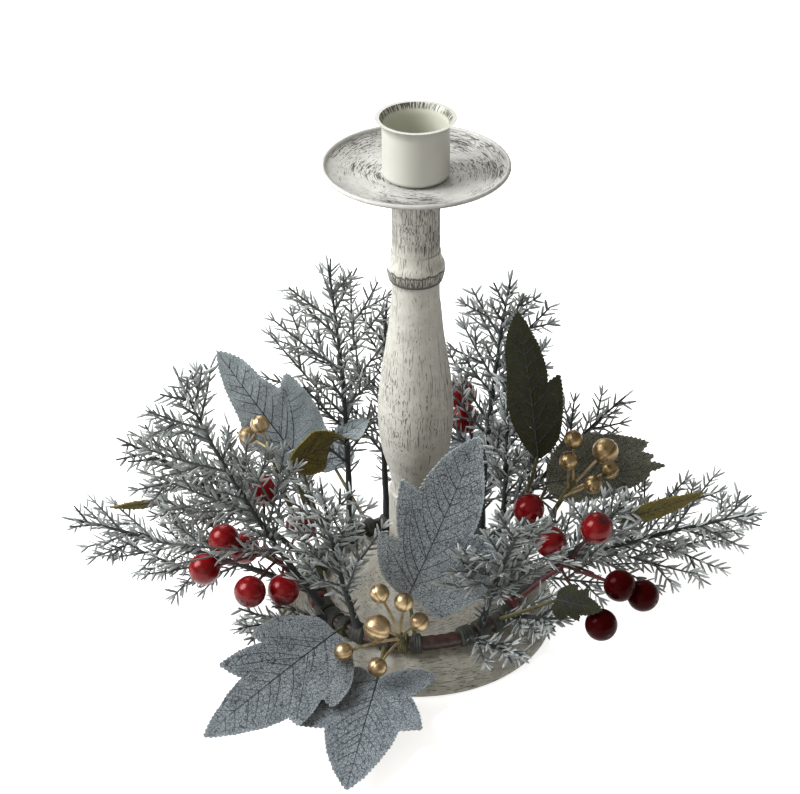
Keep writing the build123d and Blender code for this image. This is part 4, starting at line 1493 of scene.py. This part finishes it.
def add_stalk(wires, start, end, along):
    """The stalk of a spray, a little wavy."""
    side = perpendicular(along)
    path = []
    radii = []
    for step in range(spray_stalk_steps + 1):
        share = step / spray_stalk_steps
        sway = spray_stalk_sway * math.sin(share * math.pi * spray_stalk_waves)
        path.append(start + (end - start) * share + side * sway)
        radii.append(stalk_radius * (spray_stalk_taper[0] - spray_stalk_taper[1] * step / spray_stalk_steps))
    wires.tube(path, radii, spray_stalk_sides)


def add_wire(wires, fork, line, berry_radius):
    """The wire along a line to a berry, which sags a little and is thicker at its root."""
    ahead = line.normalized()
    sag = perpendicular(ahead) * (line.length * wire_sag_share)
    reach = line.length - berry_radius + wire_sink
    thick, fade, root_steps = wire_root
    path = []
    radii = []
    for step in range(wire_steps + 1):
        share = step / wire_steps
        path.append(fork + ahead * (reach * share) + sag * math.sin(math.pi * share))
        radii.append(wire_radius * (thick - fade * min(1.0, step / root_steps)))
    wires.tube(path, radii, wire_sides, finish=1)


def add_spray(name, root_turn, end_place, berry_places):
    kind = "red" if name.startswith("red") else "gold"
    root = on_ring(root_turn, hoop_ring_radius, hoop_height)
    end = by_shares(*end_place)
    along = (end - root).normalized()
    places = [(by_shares(*place), berry_radii[berry]) for *place, berry, _ in berry_places]
    places.sort(key=lambda place: (end - place[0]).dot(along))
    wires = Shape()
    add_stalk(wires, root + along * (stem_start(root_turn, along) - stalk_sink), end, along)
    skins = Shape()
    for number, (centre, radius) in enumerate(places):
        fork = end - along * (wire_pitch * number)
        ahead = (centre - fork).normalized()
        add_wire(wires, fork, centre - fork, radius)
        if kind == "red":
            tone = low_berry_tone if name == "red_right" and centre.z < low_berry_height else berry_tone
            skins.lathe(centre, ahead, red_profile(radius), berry_sides, tone)
        else:
            sight = (viewer - centre).normalized()
            poles = (ahead.cross(sight).normalized() + sight * seam_lean * (-1) ** number).normalized()
            skins.lathe(centre, poles, gold_profile(radius * gold_shell_share), berry_sides, berry_tone)
    rows = [(stalk_end_radius * wide, stalk_end_radius * high, 0.0, 0) for wide, high in stalk_end_rows]
    wires.lathe(end, along, rows, stalk_end_sides)
    wound_collar(wires, root_turn, spray_clip_width, 0)
    stalk_finish = finishes["red_wire" if kind == "red" else "olive_stems"]
    wire_finishes = [stalk_finish, finishes[kind + "_wire"]]
    wires.piece(name + "_stalk", wire_finishes, "wreath", name + "_wires", "wire_" + kind)
    skin_finishes = [finishes[berry_skins.get(name, "red_skin")], finishes["berry_calyx"]]
    skins.piece(name + "_skins", skin_finishes, "wreath", name + "_berries", "berry_" + kind)


for spray_name, values in sprays.items():
    add_spray(spray_name, *values)


# Felt pad under the foot

pad_face_share = 0.985
pad_rings = 23
pad_side_shares = (0.8, 0.2)
pad_sides = 96
pad_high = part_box("base_pad")[1]
pad_radius = pad_high[0] / mm
pad_top = pad_high[2] / mm
pad_reaches = [pad_radius * pad_face_share * number / pad_rings for number in range(1, pad_rings + 1)]
pad_rows = [(0.0, pad_top, 0.0, 0)] + [(reach, pad_top, 0.0, 0) for reach in pad_reaches]
pad_rows += [(pad_radius, pad_top * share, 0.0, 0) for share in pad_side_shares]
pad_rows += [(reach, 0.0, 0.0, 0) for reach in reversed(pad_reaches)] + [(0.0, 0.0, 0.0, 0)]
pad = Shape()
pad.lathe(Vector((0, 0, 0)), Vector((0, 0, 1)), pad_rows, pad_sides)
pad.piece("base_pad_felt", [finishes["pad_felt"]], "candlestick", "base_pad", "pad_felt")


# Floor, light and camera. Places and sizes here are metres.

floor_half = 3.0
floor_glow = 0.74
world_light = 0.30
world_colour = (1.0, 0.970, 0.900, 1.0)
# Each light: place, height of the point that it faces, width, power and colour
lights = {
    "key": ((-0.85, -0.06, 0.85), 0.08, 0.80, 18.5, (0.99, 1.0, 1.0)),
    "fill": ((-0.35, -0.90, 0.40), 0.10, 0.9, 1.4, (1.0, 0.98, 0.93)),
    "rim": ((-0.20, 0.85, 0.70), 0.12, 0.6, 3.0, (1.0, 0.99, 0.97)),
}

floor_mesh = bpy.data.meshes.new("floor")
floor_corners = [(x * floor_half, y * floor_half, 0) for x, y in ((-1, -1), (1, -1), (1, 1), (-1, 1))]
floor_mesh.from_pydata(floor_corners, [], [(0, 1, 2, 3)])
floor = bpy.data.objects.new("floor", floor_mesh)
floor_paint = plain_paint(
    "floor_paint", (0.90, 0.90, 0.90), (0.92, 0.92, 0.92), scale=3.0, roughness=0.8, depth=0.00002,
    rough_run=0.05)
floor_mesh.materials.append(floor_paint)
floor_shader = floor_paint.node_tree.nodes["Principled BSDF"]
floor_shader.inputs["Emission Color"].default_value = (1.0, 1.0, 1.0, 1.0)
floor_shader.inputs["Emission Strength"].default_value = floor_glow
bpy.context.scene.collection.objects.link(floor)
floor.visible_diffuse = False

world = bpy.data.worlds.new("studio")
world.use_nodes = True
world.node_tree.nodes["Background"].inputs["Color"].default_value = world_colour
world.node_tree.nodes["Background"].inputs["Strength"].default_value = world_light
bpy.context.scene.world = world


def soft_light(name, place, target_height, size, power, colour):
    light = bpy.data.lights.new(name, "AREA")
    light.shape = "DISK"
    light.size = size
    light.energy = power
    light.color = colour
    holder = bpy.data.objects.new(name, light)
    holder.location = place
    sight = Vector((0, 0, target_height)) - Vector(place)
    holder.rotation_euler = sight.to_track_quat("-Z", "Y").to_euler()
    bpy.context.scene.collection.objects.link(holder)


for light_name, values in lights.items():
    soft_light(light_name, *values)

camera_data = bpy.data.cameras.new("camera")
camera_data.lens = camera_lens
camera_data.sensor_width = sensor_width
camera = bpy.data.objects.new("camera", camera_data)
camera.matrix_world = (
    Matrix.Translation(camera_place) @ Matrix.Rotation(math.radians(camera_pitch), 4, "X")
    @ Matrix.Rotation(math.radians(camera_roll), 4, "Z"))
bpy.context.scene.collection.objects.link(camera)
bpy.context.scene.camera = camera
bpy.context.scene.view_settings.view_transform = "Standard"
